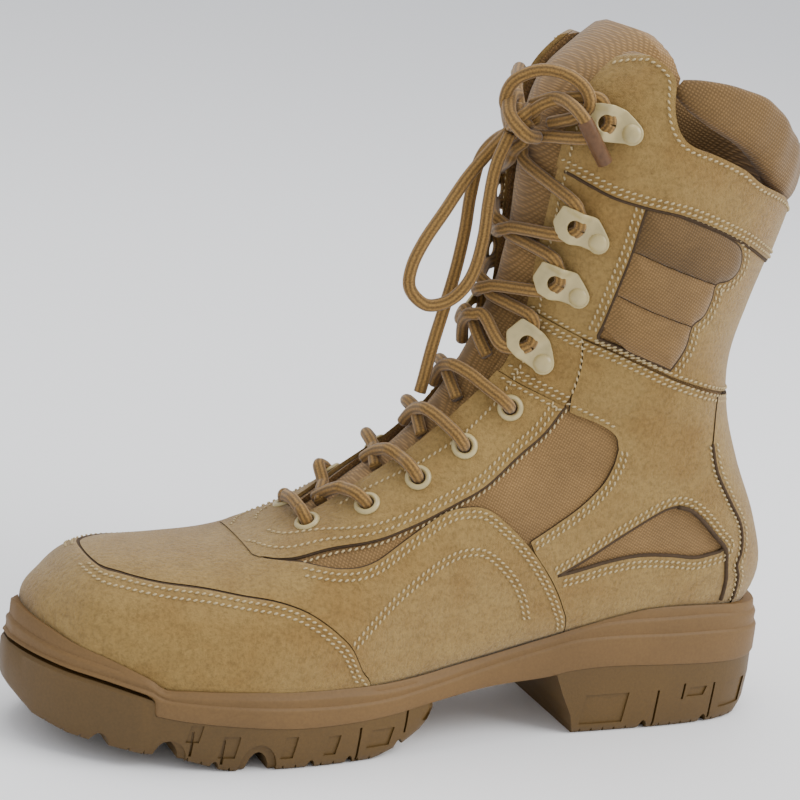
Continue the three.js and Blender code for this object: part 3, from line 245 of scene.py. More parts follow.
def locate(points, flank, grow=1.3):
    """Section and angle of side view points in millimetres."""
    points = np.asarray(points, float).reshape(-1, 2)
    ts = np.linspace(0.02, LAST_SECTION - 0.02, 900)
    row, back, front = ends_at(ts, np.full(ts.shape, grow))
    d = front - back
    miss = d[:, 0] * (points[:, 1:2] - back[:, 1]) - d[:, 1] * (points[:, 0:1] - back[:, 0])
    change = miss[:, :-1] * miss[:, 1:] <= 0
    first = np.argmax(change, axis=1)
    a, b = (np.take_along_axis(miss, first[:, None] + step, 1)[:, 0] for step in (0, 1))
    t = ts[first] + (ts[1] - ts[0]) * a / np.where(a - b == 0, 1, a - b)
    row, back, front = ends_at(t, np.full(t.shape, grow))
    d = front - back
    s = ((points - back) * d).sum(1) / (d * d).sum(1)
    wide, low, high = row[:, 6], row[:, 7], row[:, 8]
    past = s > wide
    reach = np.where(past, (s - wide) / (1 - wide), (wide - s) / wide)
    turn = np.clip(reach, 0, 1) ** (np.where(past, high, low) / 2)
    angle = np.arccos(np.where(past, -turn, turn))
    return t, angle if flank > 0 else 2 * math.pi - angle


def normals(t, angle, grow):
    along = form(t + 0.02, angle, grow) - form(t - 0.02, angle, grow)
    around = form(t, angle + 0.02, grow) - form(t, angle - 0.02, grow)
    n = np.cross(along, around)
    return n / np.maximum(np.linalg.norm(n, axis=-1, keepdims=True), 1e-9)


def curve(points, spacing=2.0):
    """A smooth line through points, resampled at even spacing."""
    p = np.asarray(points, float)
    ext = np.vstack([2 * p[0] - p[1], p, 2 * p[-1] - p[-2]])
    dense = []
    for i in range(len(p) - 1):
        a, b, c, d = ext[i:i + 4]
        k = np.linspace(0, 1, 24, endpoint=False)[:, None]
        dense.append(b + 0.5 * k * (c - a + k * (2 * a - 5 * b + 4 * c - d + k * (3 * (b - c) + d - a))))
    dense = np.vstack(dense + [p[-1:]])
    reach = np.concatenate([[0], np.cumsum(np.linalg.norm(np.diff(dense, axis=0), axis=1))])
    count = max(2, int(reach[-1] / spacing) + 1)
    at = np.linspace(0, reach[-1], count)
    return np.stack([np.interp(at, reach, dense[:, i]) for i in range(p.shape[1])], 1)


def seam(places, spacing=2.0):
    return curve(side(places), spacing)


def moved(line, by):
    """A side view line moved to its left by so many millimetres."""
    along = np.gradient(line, axis=0)
    along /= np.maximum(np.linalg.norm(along, axis=1, keepdims=True), 1e-9)
    return line + np.stack([-along[:, 1], along[:, 0]], 1) * by


def distance(points, line):
    """Distance in the side view from points to a line."""
    best = np.full(len(points), 1e9)
    for a, b in zip(line[:-1], line[1:]):
        d = b - a
        k = np.clip(((points - a) @ d) / max(d @ d, 1e-9), 0, 1)
        best = np.minimum(best, np.linalg.norm(points - a - k[:, None] * d, axis=1))
    return best


# Soft creases of the upper: side view line, depth and width in millimetres
CREASES = [
    ([(0.345, 0.60), (0.33, 0.575), (0.30, 0.55), (0.25, 0.53), (0.19, 0.50)], -1.2, 5.0),
    ([(0.42, 0.50), (0.38, 0.46), (0.33, 0.43), (0.27, 0.415)], -0.9, 5.0),
    ([(0.13, 0.47), (0.19, 0.45), (0.27, 0.455), (0.33, 0.48)], 0.7, 5.0),
    ([(0.70, 0.14), (0.76, 0.12), (0.82, 0.13), (0.87, 0.16)], -0.5, 7.0),
    ([(0.55, 0.28), (0.57, 0.21), (0.56, 0.13)], -0.5, 6.0),
    ([(0.29, 0.90), (0.30, 0.86), (0.31, 0.78)], -0.6, 6.0),
]


def soften(points):
    """Points of the upper in millimetres, moved in or out where it creases."""
    points = np.array(points, float)
    flat = points.reshape(-1, 3)
    inward = np.sign(flat[:, 1]) * smooth(np.abs(flat[:, 1]), 6, 20)
    for line, depth, width in CREASES:
        away = distance(flat[:, [0, 2]], seam(line, 6))
        flat[:, 1] += inward * depth * np.exp(-(away / width) ** 2)
    return flat.reshape(points.shape)


# Meshes
def add_object(name, bm, material=None, shade=True):
    mesh = bpy.data.meshes.new(name)
    bm.to_mesh(mesh)
    bm.free()
    obj = bpy.data.objects.new(name, mesh)
    bpy.context.scene.collection.objects.link(obj)
    if material:
        mesh.materials.append(material)
    if shade:
        mesh.shade_smooth()
    return obj


def to_frame(points):
    return (np.asarray(points, float) - ORIGIN) / 1000


def loft(rings, closed=True, ring_closed=False, uv=None):
    """A grid laid over rings of points in millimetres, its seam merged and its ends closed."""
    rings = np.asarray(rings, float)
    if ring_closed:
        rings = np.concatenate([rings, rings[:1]])
    rings = np.concatenate([rings, rings[:, :1]], 1) if closed else rings
    rows, columns = rings.shape[:2]
    bm = bmesh.new()
    layer = bm.loops.layers.uv.new("UVMap") if uv else None
    bmesh.ops.create_grid(bm, x_segments=rows - 1, y_segments=columns - 1, size=1)
    points = to_frame(rings)
    places = {}
    for v in bm.verts:
        i = round((v.co.x + 1) / 2 * (rows - 1))
        j = round((v.co.y + 1) / 2 * (columns - 1))
        places[v] = (i, j)
    if layer:
        for face in bm.faces:
            for loop in face.loops:
                i, j = places[loop.vert]
                loop[layer].uv = (i / (rows - 1) * uv[0], j / (columns - 1) * uv[1])
    for v, (i, j) in places.items():
        v.co = points[i, j]
    bmesh.ops.remove_doubles(bm, verts=bm.verts, dist=1e-6)
    if not ring_closed:
        edges = [e for e in bm.edges if e.is_boundary]
        if closed and edges:
            bmesh.ops.holes_fill(bm, edges=edges, sides=0)
    bmesh.ops.recalc_face_normals(bm, faces=bm.faces)
    return bm


def last_rings(grow, steps=150, around=128):
    t = np.linspace(0, LAST_SECTION, steps)[:, None]
    angle = np.linspace(0, 2 * math.pi, around, endpoint=False)[None, :]
    return form(t, angle, grow)


def last_solid(name, grow, steps=150, around=128):
    return add_object(name, loft(last_rings(grow, steps, around)))


def prism(name, line, y0=-90.0, y1=90.0):
    """A side view outline across the boot."""
    bm = bmesh.new()
    verts = [bm.verts.new(to_frame([x, y0, z])) for x, z in line]
    face = bm.faces.new(verts)
    grown = bmesh.ops.extrude_face_region(bm, geom=[face])
    moving = [g for g in grown["geom"] if isinstance(g, bmesh.types.BMVert)]
    bmesh.ops.translate(bm, verts=moving, vec=(0, (y1 - y0) / 1000, 0))
    bmesh.ops.triangulate(bm, faces=[f for f in bm.faces if len(f.verts) > 4], ngon_method="EAR_CLIP")
    bmesh.ops.recalc_face_normals(bm, faces=bm.faces)
    return add_object(name, bm)


def boolean(obj, *steps):
    """Cuts obj by each (operation, cutter) in turn and keeps the result as its mesh."""
    for operation, cutter in steps:
        modifier = obj.modifiers.new(operation, "BOOLEAN")
        modifier.operation = operation
        modifier.solver = "MANIFOLD"
        modifier.object = cutter
        bpy.context.view_layer.update()
        done = bpy.data.meshes.new_from_object(obj.evaluated_get(bpy.context.evaluated_depsgraph_get()))
        obj.modifiers.clear()
        if not done.polygons:
            raise RuntimeError(f"{obj.name} is empty after {operation} with {cutter.name}")
        obj.data = done
    return obj


def copy_of(obj, name):
    twin = bpy.data.objects.new(name, obj.data.copy())
    bpy.context.scene.collection.objects.link(twin)
    return twin


def remove(*objects):
    for obj in objects:
        bpy.data.objects.remove(obj, do_unlink=True)


def front_rings(rows, extra=0.0, inward=24.0, outward=24.0):
    ts = np.unique(np.concatenate([rows[:, 0], np.linspace(rows[0, 0], rows[-1, 0], 60)]))
    _, back, front = ends_at(ts, np.zeros(ts.shape))
    out = front - back
    out /= np.linalg.norm(out, axis=1, keepdims=True)
    half = np.interp(ts, rows[:, 0], rows[:, 1]) * BALL_WIDTH + extra
    high, low = front + out * outward, front - out * inward
    corners = [(low, -half), (high, -half), (high, half), (low, half)]
    return np.stack([np.stack([p[:, 0], y, p[:, 1]], 1) for p, y in corners], 1)


def finish_piece(obj, material, *nodes, edge=None, outline=None, angle=50, soft=True):
    """Gives a piece its material, shades it, and lets it stand for its solids."""
    obj.data.materials.clear()
    if soft:
        places = soften(np.array([v.co for v in obj.data.vertices]) * 1000 + ORIGIN)
        obj.data.vertices.foreach_set("co", to_frame(places).ravel())
    obj.data.materials.append(material)
    if edge and outline is not None:
        obj.data.materials.append(edge)
        centres = np.array([p.center for p in obj.data.polygons]) * 1000 + ORIGIN
        flat = np.abs(np.array([p.normal[1] for p in obj.data.polygons])) < 0.03
        near = np.full(len(centres), False)
        near[flat] = distance(centres[flat][:, [0, 2]], outline) < 0.25
        for polygon, on in zip(obj.data.polygons, near):
            polygon.material_index = int(on)
    obj.data.shade_smooth()
    obj.data.set_sharp_from_angle(angle=math.radians(angle))
    if nodes:
        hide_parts(*nodes)
    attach(obj, "root")
    return obj


# Materials
def new_material(name, colour, roughness, **constants):
    mat = bpy.data.materials.new(name)
    mat.use_nodes = True
    shader = mat.node_tree.nodes["Principled BSDF"]
    shader.inputs["Base Color"].default_value = (*colour, 1)
    shader.inputs["Roughness"].default_value = roughness
    for socket, value in constants.items():
        shader.inputs[socket.replace("_", " ")].default_value = value
    return mat, mat.node_tree, shader


def link(tree, a, b):
    tree.links.new(a, b)


def noise(tree, vector, scale, detail=3.0, roughness=0.55):
    node = tree.nodes.new("ShaderNodeTexNoise")
    node.inputs["Scale"].default_value = scale
    node.inputs["Detail"].default_value = detail
    node.inputs["Roughness"].default_value = roughness
    link(tree, vector, node.inputs["Vector"])
    return node.outputs["Fac"]


def ramp(tree, factor, stops):
    node = tree.nodes.new("ShaderNodeValToRGB")
    elements = node.color_ramp.elements
    while len(elements) < len(stops):
        elements.new(0.5)
    for element, (at, colour) in zip(elements, stops):
        element.position = at
        element.color = (*colour, 1)
    link(tree, factor, node.inputs["Fac"])
    return node.outputs["Color"]


def blend(tree, mode, factor, a, b):
    node = tree.nodes.new("ShaderNodeMix")
    node.data_type = "RGBA"
    node.blend_type = mode
    if isinstance(factor, float):
        node.inputs["Factor"].default_value = factor
    else:
        link(tree, factor, node.inputs["Factor"])
    link(tree, a, node.inputs[6])
    link(tree, b, node.inputs[7])
    return node.outputs[2]


def bump(tree, shader, height, strength, depth):
    node = tree.nodes.new("ShaderNodeBump")
    node.inputs["Strength"].default_value = strength
    node.inputs["Distance"].default_value = depth
    link(tree, height, node.inputs["Height"])
    link(tree, node.outputs["Normal"], shader.inputs["Normal"])


def coordinates(tree, output="Object", scale=None, turn=None):
    node = tree.nodes.new("ShaderNodeTexCoord")
    if scale is None and turn is None:
        return node.outputs[output]
    mapping = tree.nodes.new("ShaderNodeMapping")
    if scale:
        mapping.inputs["Scale"].default_value = scale
    if turn:
        mapping.inputs["Rotation"].default_value = turn
    link(tree, node.outputs[output], mapping.inputs["Vector"])
    return mapping.outputs["Vector"]


def tint(colour, by):
    return tuple(min(1.0, max(0.0, c * by)) for c in colour)


def suede(name, colour):
    """Napped leather: brushed patches, a fine nap and a few darker rubs."""
    mat, tree, shader = new_material(name, colour, 0.92, Sheen_Weight=0.25, Sheen_Roughness=0.5,
                                     Specular_IOR_Level=0.2)
    place = coordinates(tree)
    patches = noise(tree, place, 34, 4)
    warm = (colour[0] * 0.91, colour[1] * 0.85, colour[2] * 0.77)
    base = ramp(tree, patches, [(0.32, warm), (0.54, colour), (0.74, tint(colour, 1.08))])
    nap = noise(tree, place, 620, 5, 0.75)
    nap_colour = ramp(tree, nap, [(0.30, (0.66, 0.64, 0.60)), (0.52, (0.98, 0.98, 0.98)),
                                  (0.72, (1.18, 1.18, 1.16))])
    rub = noise(tree, coordinates(tree, scale=(1, 1, 2.2)), 90, 5, 0.6)
    rubbed = ramp(tree, rub, [(0.30, (0.90, 0.87, 0.83)), (0.60, (1.03, 1.03, 1.03))])
    base = blend(tree, "MULTIPLY", 1.0, base, rubbed)
    link(tree, blend(tree, "MULTIPLY", 1.0, base, nap_colour), shader.inputs["Base Color"])
    bump(tree, shader, nap, 0.7, 0.0010)
    return mat


def wave(tree, vector, scale, direction="X"):
    node = tree.nodes.new("ShaderNodeTexWave")
    node.wave_type = "BANDS"
    node.bands_direction = direction
    node.inputs["Scale"].default_value = scale
    node.inputs["Distortion"].default_value = 0.6
    node.inputs["Detail"].default_value = 1
    link(tree, vector, node.inputs["Vector"])
    return node.outputs["Fac"]


def woven(name, colour, thread=0.0011):
    """Heavy woven cloth: warp and weft ribs with uneven threads."""
    mat, tree, shader = new_material(name, colour, 0.85, Sheen_Weight=0.2, Specular_IOR_Level=0.25)
    place = coordinates(tree, turn=(0, math.radians(28), 0))
    scale = 0.314 / thread
    warp, weft = wave(tree, place, scale, "X"), wave(tree, place, scale, "Z")
    mesh = tree.nodes.new("ShaderNodeMath")
    mesh.operation = "MULTIPLY"
    link(tree, warp, mesh.inputs[0])
    link(tree, weft, mesh.inputs[1])
    threads = noise(tree, coordinates(tree, scale=(1, 1, 9)), 260, 2)
    base = ramp(tree, noise(tree, place, 30, 3), [(0.35, tint(colour, 0.84)), (0.65, tint(colour, 1.12))])
    grain = ramp(tree, mesh.outputs[0], [(0.0, (0.66, 0.66, 0.66)), (0.6, (1.08, 1.08, 1.08))])
    fleck = ramp(tree, threads, [(0.3, (0.86, 0.86, 0.86)), (0.7, (1.08, 1.08, 1.08))])
    mixed = blend(tree, "MULTIPLY", 1.0, blend(tree, "MULTIPLY", 1.0, base, grain), fleck)
    link(tree, mixed, shader.inputs["Base Color"])
    bump(tree, shader, mesh.outputs[0], 0.5, 0.0004)
    return mat


def moulded(name, colour, roughness=0.55):
    """Moulded rubber: a faint skin grain, dust and scuffs."""
    mat, tree, shader = new_material(name, colour, roughness, Specular_IOR_Level=0.35)
    place = coordinates(tree)
    base = ramp(tree, noise(tree, place, 18, 4), [(0.3, tint(colour, 0.86)), (0.7, tint(colour, 1.1))])
    speck = ramp(tree, noise(tree, place, 900, 2), [(0.3, (0.9, 0.9, 0.9)), (0.7, (1.05, 1.05, 1.05))])
    link(tree, blend(tree, "MULTIPLY", 1.0, base, speck), shader.inputs["Base Color"])
    bump(tree, shader, noise(tree, place, 1300, 2), 0.18, 0.0003)
    return mat


def braided(name, colour):
    """Round braided lace: ribs along it, with darker flecks. Reads the piece's own UV map."""
    mat, tree, shader = new_material(name, colour, 0.8, Sheen_Weight=0.2, Specular_IOR_Level=0.3)
    turned = coordinates(tree, "UV", scale=(1.0, 8.0, 1.0))
    ribs = wave(tree, turned, 0.3141, "Y")
    picks = noise(tree, coordinates(tree, "UV", scale=(1.1, 14.0, 1.0)), 1.4, 1)
    base = ramp(tree, ribs, [(0.1, tint(colour, 0.62)), (0.6, colour), (0.95, tint(colour, 1.25))])
    fleck = ramp(tree, picks, [(0.36, (0.62, 0.56, 0.50)), (0.55, (1.06, 1.04, 1.0))])
    link(tree, blend(tree, "MULTIPLY", 0.8, base, fleck), shader.inputs["Base Color"])
    bump(tree, shader, picks, 0.5, 0.0005)
    return mat


def enamel(name, colour):
    """Painted metal with a soft gloss and worn, slightly darker patches."""
    mat, tree, shader = new_material(name, colour, 0.38, Metallic=0.0, Coat_Weight=0.25, Coat_Roughness=0.3)
    base = ramp(tree, noise(tree, coordinates(tree), 160, 4),
                [(0.25, tint(colour, 0.80)), (0.5, colour), (0.75, tint(colour, 1.08))])
    link(tree, base, shader.inputs["Base Color"])
    bump(tree, shader, noise(tree, coordinates(tree), 500, 2), 0.08, 0.0002)
    return mat


def plain(name, colour, roughness=0.8, grain=600.0):
    mat, tree, shader = new_material(name, colour, roughness, Specular_IOR_Level=0.25)
    speck = noise(tree, coordinates(tree), grain, 3)
    link(tree, ramp(tree, speck, [(0.3, tint(colour, 0.8)), (0.7, tint(colour, 1.15))]),
         shader.inputs["Base Color"])
    bump(tree, shader, speck, 0.25, 0.0003)
    return mat


MATERIALS = {}


def finish_of(kind):
    """The material of one finish, made once from the panel's colours."""
    looks = bpy.context.scene.boot_looks
    makers = {
        "suede": lambda: suede("suede", looks.suede), "nylon": lambda: woven("nylon", looks.nylon),
        "nylon_dark": lambda: woven("nylon_dark", tint(looks.nylon, 0.62)),
        "collar": lambda: woven("collar_nylon", tint(looks.nylon, 0.8), 0.0012),
        "tongue": lambda: woven("tongue_nylon", tint(looks.nylon, 1.2), 0.0011),
        "rubber": lambda: moulded("rubber", looks.rubber),
        "midsole": lambda: moulded("midsole", looks.midsole, 0.6),
        "lace": lambda: braided("lace", looks.lace), "metal": lambda: enamel("enamel", looks.metal),
        "thread": lambda: plain("thread", looks.thread, 0.7, 2500),
        "edge": lambda: plain("cut_edge", looks.edge, 0.8),
        "lining": lambda: woven("lining", tint(looks.nylon, 0.8), 0.0018),
        "insole": lambda: plain("insole", (0.10, 0.075, 0.05)),
        "aglet": lambda: plain("aglet", looks.aglet, 0.4),
        # Near-black material for the hollow inside the lace tip's open end: painted shade, not the tip's own
        # colour.
        "dark": lambda: plain("tube_inside_painted_shade", (0.02, 0.015, 0.01), 0.6),
    }
    if kind not in MATERIALS:
        MATERIALS[kind] = makers[kind]()
    return MATERIALS[kind]


class BootLooks(bpy.types.PropertyGroup):
    """Colours of the boot's materials."""
    suede: FloatVectorProperty(name="Suede", description="Brushed desert suede", subtype="COLOR", size=3,
                               default=(0.285, 0.182, 0.058), min=0, max=1)
    nylon: FloatVectorProperty(name="Nylon", description="Woven panels, tongue and collar", subtype="COLOR",
                               size=3, default=(0.255, 0.145, 0.050), min=0, max=1)
    rubber: FloatVectorProperty(name="Tread", description="Gum rubber tread", subtype="COLOR", size=3,
                                default=(0.100, 0.055, 0.013), min=0, max=1)
    midsole: FloatVectorProperty(name="Midsole", description="Midsole side", subtype="COLOR", size=3,
                                 default=(0.155, 0.085, 0.027), min=0, max=1)
    lace: FloatVectorProperty(name="Lace", description="Braided lace", subtype="COLOR", size=3,
                              default=(0.235, 0.132, 0.034), min=0, max=1)
    metal: FloatVectorProperty(name="Metal", description="Enamelled eyelets and hooks", subtype="COLOR",
                               size=3,
                               default=(0.44, 0.35, 0.155), min=0, max=1)
    thread: FloatVectorProperty(name="Thread", description="Seam thread", subtype="COLOR", size=3,
                                default=(0.46, 0.355, 0.19), min=0, max=1)
    edge: FloatVectorProperty(name="Cut edge", description="Raw edges of the panels", subtype="COLOR", size=3,
                              default=(0.060, 0.036, 0.018), min=0, max=1)
    aglet: FloatVectorProperty(name="Lace tip", description="Tube on the lace end", subtype="COLOR", size=3,
                               default=(0.115, 0.056, 0.024), min=0, max=1)


class BootSizes(bpy.types.PropertyGroup):
    """Sizes of leather, thread and laces."""
    overlay: FloatProperty(name="Overlay", description="Thickness of toe cap and eyestays", unit="LENGTH",
                           subtype="DISTANCE", default=0.0015, min=0.0008, max=0.003)
    panel: FloatProperty(name="Panel", description="Thickness of the vamp and quarters", unit="LENGTH",
                         subtype="DISTANCE", default=0.0010, min=0.0006, max=0.002)
    cuff: FloatProperty(name="Cuff", description="Thickness of the cuff", unit="LENGTH", subtype="DISTANCE",
                        default=0.0018, min=0.001, max=0.003)
    stitch: FloatProperty(name="Stitch", description="Length of one stitch", unit="LENGTH",
                          subtype="DISTANCE",
                          default=0.0022, min=0.001, max=0.004)
    thread: FloatProperty(name="Thread", description="Thickness of the seam thread", unit="LENGTH",
                          subtype="DISTANCE", default=0.0010, min=0.0004, max=0.002)
    lace: FloatProperty(name="Lace", description="Diameter of the lace", unit="LENGTH", subtype="DISTANCE",
                        default=0.005, min=0.003, max=0.007)


def sizes():
    """The panel's sizes in millimetres."""
    group = bpy.context.scene.boot_sizes
    return {name: getattr(group, name) * 1000
            for name in ("overlay", "panel", "cuff", "stitch", "thread", "lace")}


# Sole
def table(rows, column):
    line = curve(rows[:, [0, column]] * [LENGTH, SOLE_HEIGHT], 1.5)
    return lambda x: np.interp(np.asarray(x) * LENGTH, line[:, 0], line[:, 1])


def tread_height(x):
    return np.interp(x, TREAD[:, 0], TREAD[:, 1]) * SOLE_HEIGHT


def bumper(x):
    return smooth(x, BUMPER_START, BUMPER_START + 0.012)


def sole_stations(start, end):
    outer = curve(OUTLINE[:, [0, 1]] * [LENGTH, BALL_WIDTH], 2.4)
    inner = curve(OUTLINE[:, [0, 2]] * [LENGTH, BALL_WIDTH], 2.4)
    x = np.unique(np.clip(outer[:, 0] / LENGTH, start, end))
    x = x[np.concatenate([[True], np.diff(x) > 1e-5])]
    lateral = np.interp(x * LENGTH, outer[:, 0], outer[:, 1])
    medial = np.interp(x * LENGTH, inner[:, 0], inner[:, 1])
    return x, lateral, medial


def sole_stack(name, start, end, layers):
    """Rings of the sole's outline, each with its own offset and height, closed on the middle line."""
    x, lateral, medial = sole_stations(start, end)
    xs = np.concatenate([x, x[::-1]])
    flat = np.stack([xs * LENGTH, np.concatenate([lateral, medial[::-1]])], 1)
    along = np.roll(flat, -1, 0) - np.roll(flat, 1, 0)
    along /= np.linalg.norm(along, axis=1, keepdims=True)
    out = np.stack([-along[:, 1], along[:, 0]], 1)
    middle = np.concatenate([(lateral + medial) / 2, ((lateral + medial) / 2)[::-1]])
    rings = []
    for offset, height in layers:
        p = flat + out * (offset(xs) if callable(offset) else np.full(len(xs), offset))[:, None]
        rings.append(np.stack([p[:, 0], p[:, 1], height(xs)], 1))

    def inward(ring, share):
        closer = ring.copy()
        closer[:, 1] = middle + (ring[:, 1] - middle) * share
        pairs = (closer[:, 0] + closer[::-1, 0]) / 2
        if share == 0:
            closer[:, 0] = pairs
            closer[:, 2] = (closer[:, 2] + closer[::-1, 2]) / 2
        return closer
    full = [inward(rings[0], s) for s in (0, 0.5)] + rings + [inward(rings[-1], s) for s in (0.5, 0)]
    return add_object(name, loft(full))


def midsole_block(name, extra):
    ridge, rib, top, parting = (table(SIDE_BANDS, c) for c in (2, 3, 4, 1))

    def below(x):
        return extra - 0.6 - bumper(x) * BUMPER_WALL
    return sole_stack(name, 0, 1, [
        (below, lambda x: parting(x) - extra), (lambda x: below(x) + 0.5, lambda x: parting(x) + 1.2 - extra),
        (lambda x: below(x) + 0.6, lambda x: ridge(x) - 1.5 - extra),
        (lambda x: below(x) * 0.25 + extra * 0.75, lambda x: ridge(x) - 0.8 - extra),
        (extra, lambda x: ridge(x) - extra), (extra - 0.4, lambda x: ridge(x) + 0.8 - extra),
        (extra - 1.1, lambda x: ridge(x) + 1.3 - extra),
        (extra - 1.2, lambda x: (ridge(x) + rib(x)) / 2 + 0.5),
        (extra - 1.0, lambda x: rib(x) - 0.2), (extra - 1.3, lambda x: rib(x) + 0.6),
        (extra - 2.2, lambda x: rib(x) + 1.3), (extra - 2.5, lambda x: top(x) - 0.6 + extra),
        (extra - 3.0, lambda x: top(x) + extra)])


def above(name, height):
    """Everything above a height along the sole."""
    x = np.linspace(-0.1, 1.1, 60)
    edge = np.stack([x * LENGTH, height(np.clip(x, 0, 1))], 1)
    return prism(name, np.vstack([edge, [[1.1 * LENGTH, 440], [-0.1 * LENGTH, 440]]]))


GROOVES = [(0.100, 0.7, 0.8), (0.192, 0.7, 0.8), (0.547, 0.7, 0.8), (0.616, 0.6, 0.7), (0.667, 0.6, 0.7),
           (0.735, 1.6, 1.6), (0.787, 0.6, 0.7), (0.843, 1.6, 1.5), (0.915, 1.1, 1.0)]


# Shallow recesses of the tread's side: x at their two ends, height at their foot and their top
RECESSES = [(0.806, 0.821, 9, 16), (0.762, 0.782, 6, 15), (0.690, 0.706, 5, 14), (0.634, 0.650, 5, 13),
            (0.560, 0.592, 5.5, 13), (0.222, 0.284, 4, 17), (0.104, 0.130, 13, 17), (0.034, 0.074, 6, 17)]
SIPES = [(0.606, 1, 15), (0.541, 6, 17), (0.816, 3, 13), (0.779, 3, 13), (0.177, 1, 17), (0.138, 12, 19),
         (0.091, 2, 18)]
ARCHES = [(0.735, 7.6, 11.5), (0.838, 5.6, 8.0)]


def arch(name, x, half, high):
    base, at = float(tread_height(x)), x * LENGTH
    places = [(-half, -3)]
    places += [(half * math.cos(a), high * math.sin(a)) for a in np.linspace(math.pi, 0, 17)]
    places += [(half, -3)]
    return prism(name, [(at + dx, base + dz) for dx, dz in places])


def box(name, x0, x1, low, high, lean=0.8):
    z = float(tread_height((x0 + x1) / 2))
    a, b = x0 * LENGTH, x1 * LENGTH
    return prism(name, [(a + lean, z + low), (b + lean, z + low), (b - lean, z + high), (a - lean, z + high)])


def side_cuts(layers, start, end):
    """What the shallow recesses take off a tread unit: their outlines less a slightly slimmer unit."""
    def slimmer(depth):
        rows = [(lambda x, o=offset: (o(x) if callable(o) else o) - depth, height) 
                for offset, height in layers]
        return sole_stack("slim", start - 0.01, end + 0.01, rows)
    shallow, deep = slimmer(0.7), slimmer(1.4)
    cuts = [boolean(box("recess", *row), ("DIFFERENCE", shallow)) for row in RECESSES if start < row[0] < end]
    cuts += [boolean(box("sipe", x - 0.0016, x + 0.0016, low, high, 0.3), ("DIFFERENCE", deep))
             for x, low, high in SIPES if start < x < end]
    cuts += [boolean(arch("arch", *row), ("DIFFERENCE", deep)) for row in ARCHES if start < row[0] < end]
    remove(shallow, deep)
    return cuts


def groove(name, x, wide, deep, y0=-90, y1=90):
    half, depth, base, at = wide * 3.0, deep * 5.0, float(tread_height(x)), x * LENGTH
    arc = [(math.cos(a), math.sin(a)) for a in np.linspace(math.pi, 0, 9)]
    places = [(-half - 1, -3)]
    places += [(half * c * (0.85 + 0.15 * (1 - s)), depth * s) for c, s in arc]
    places += [(half + 1, -3)]
    return prism(name, [(at + dx, base + dz) for dx, dz in places], y0, y1)


class BOOT_OT_sole(bpy.types.Operator):
    """Midsole with its steps, and the two lugged tread units"""
    bl_idname = "boot.sole"
    bl_label = "Sole"

    def execute(self, context):
        top = table(SIDE_BANDS, 4)
        inside = last_solid("inside", GAP)
        rim = boolean(last_solid("rim", GAP + sizes()["overlay"] + GAP, 120),
                      ("INTERSECT", above("rim_top", lambda x: top(x) - 4)))
        midsole = boolean(midsole_block("midsole_body", 0), ("DIFFERENCE", inside), ("DIFFERENCE", rim))
        finish_piece(midsole, finish_of("midsole"), "midsole", angle=40, soft=False)
        core = midsole_block("core", 0.2)
        parting, ridge = table(SIDE_BANDS, 1), table(SIDE_BANDS, 2)

        def upper_edge(x):
            return np.where(bumper(x) > 0.02, ridge(x) - 1.8, parting(x) + 4)
        for name, start, end, node in (("tread_forefoot", 0.503, 1.0, "outsole_forefoot"),
                                       ("tread_heel", 0.0, 0.335, "outsole_heel")):
            def wall(x):
                return -0.9 + bumper(x) * 1.7
            layers = [
                (lambda x: wall(x) - 3.0, tread_height),
                (lambda x: wall(x) - 1.8, lambda x: tread_height(x) + 0.8),
                (lambda x: wall(x) - 0.9, lambda x: tread_height(x) + 3),
                (wall, lambda x: (tread_height(x) + upper_edge(x)) / 2),
                (lambda x: wall(x) - 0.3 * bumper(x), lambda x: upper_edge(x) - 1.2),
                (lambda x: wall(x) - 1.2 * bumper(x), upper_edge)]
            unit = sole_stack(name, start, end, layers)
            cutters = [core, *side_cuts(layers, start, end)]
            for x, wide, deep in GROOVES:
                if start < x < end:
                    cutters.append(groove(f"groove_{x}", x, wide, deep))
            for x in np.arange(start + 0.035, end - 0.03, 0.0165):
                if all(abs(x - g[0]) > g[1] * 0.0125 + 0.004 for g in GROOVES):
                    cutters.append(groove(f"sipe_{x}", x, 0.16, 0.42))
            low, high = (0.55, 0.80) if start > 0.4 else (0.06, 0.26)
            base = float(tread_height((low + high) / 2))
            for y in (0, -26, 26) if start > 0.4 else (0, -18, 18):
                cutters.append(prism(f"channel_{y}", [(low * LENGTH, base - 3), (high * LENGTH, base - 3),
                                                      (high * LENGTH, base + 3.5),
                                                      (low * LENGTH, base + 3.5)],
                                     y - (3.5 if y == 0 else 1.4), y + (3.5 if y == 0 else 1.4)))
            if start < 0.4:
                breast = [(x * LENGTH, z * SOLE_HEIGHT)
                          for x, z in HEEL_BREAST + [(0.36, 0.50), (0.36, -0.02)]]
                cutters.append(prism("breast", breast))
            boolean(unit, *[("DIFFERENCE", c) for c in cutters])
            remove(*cutters[1:])
            finish_piece(unit, finish_of("rubber"), node, angle=35, soft=False)
        remove(core, inside, rim)
        remove(*[o for o in list(bpy.data.objects) if o.name.startswith("rim_top")])
        return {"FINISHED"}


# Upper
def poly(*parts):
    return np.vstack([np.asarray(p, float).reshape(-1, 2) for p in parts])


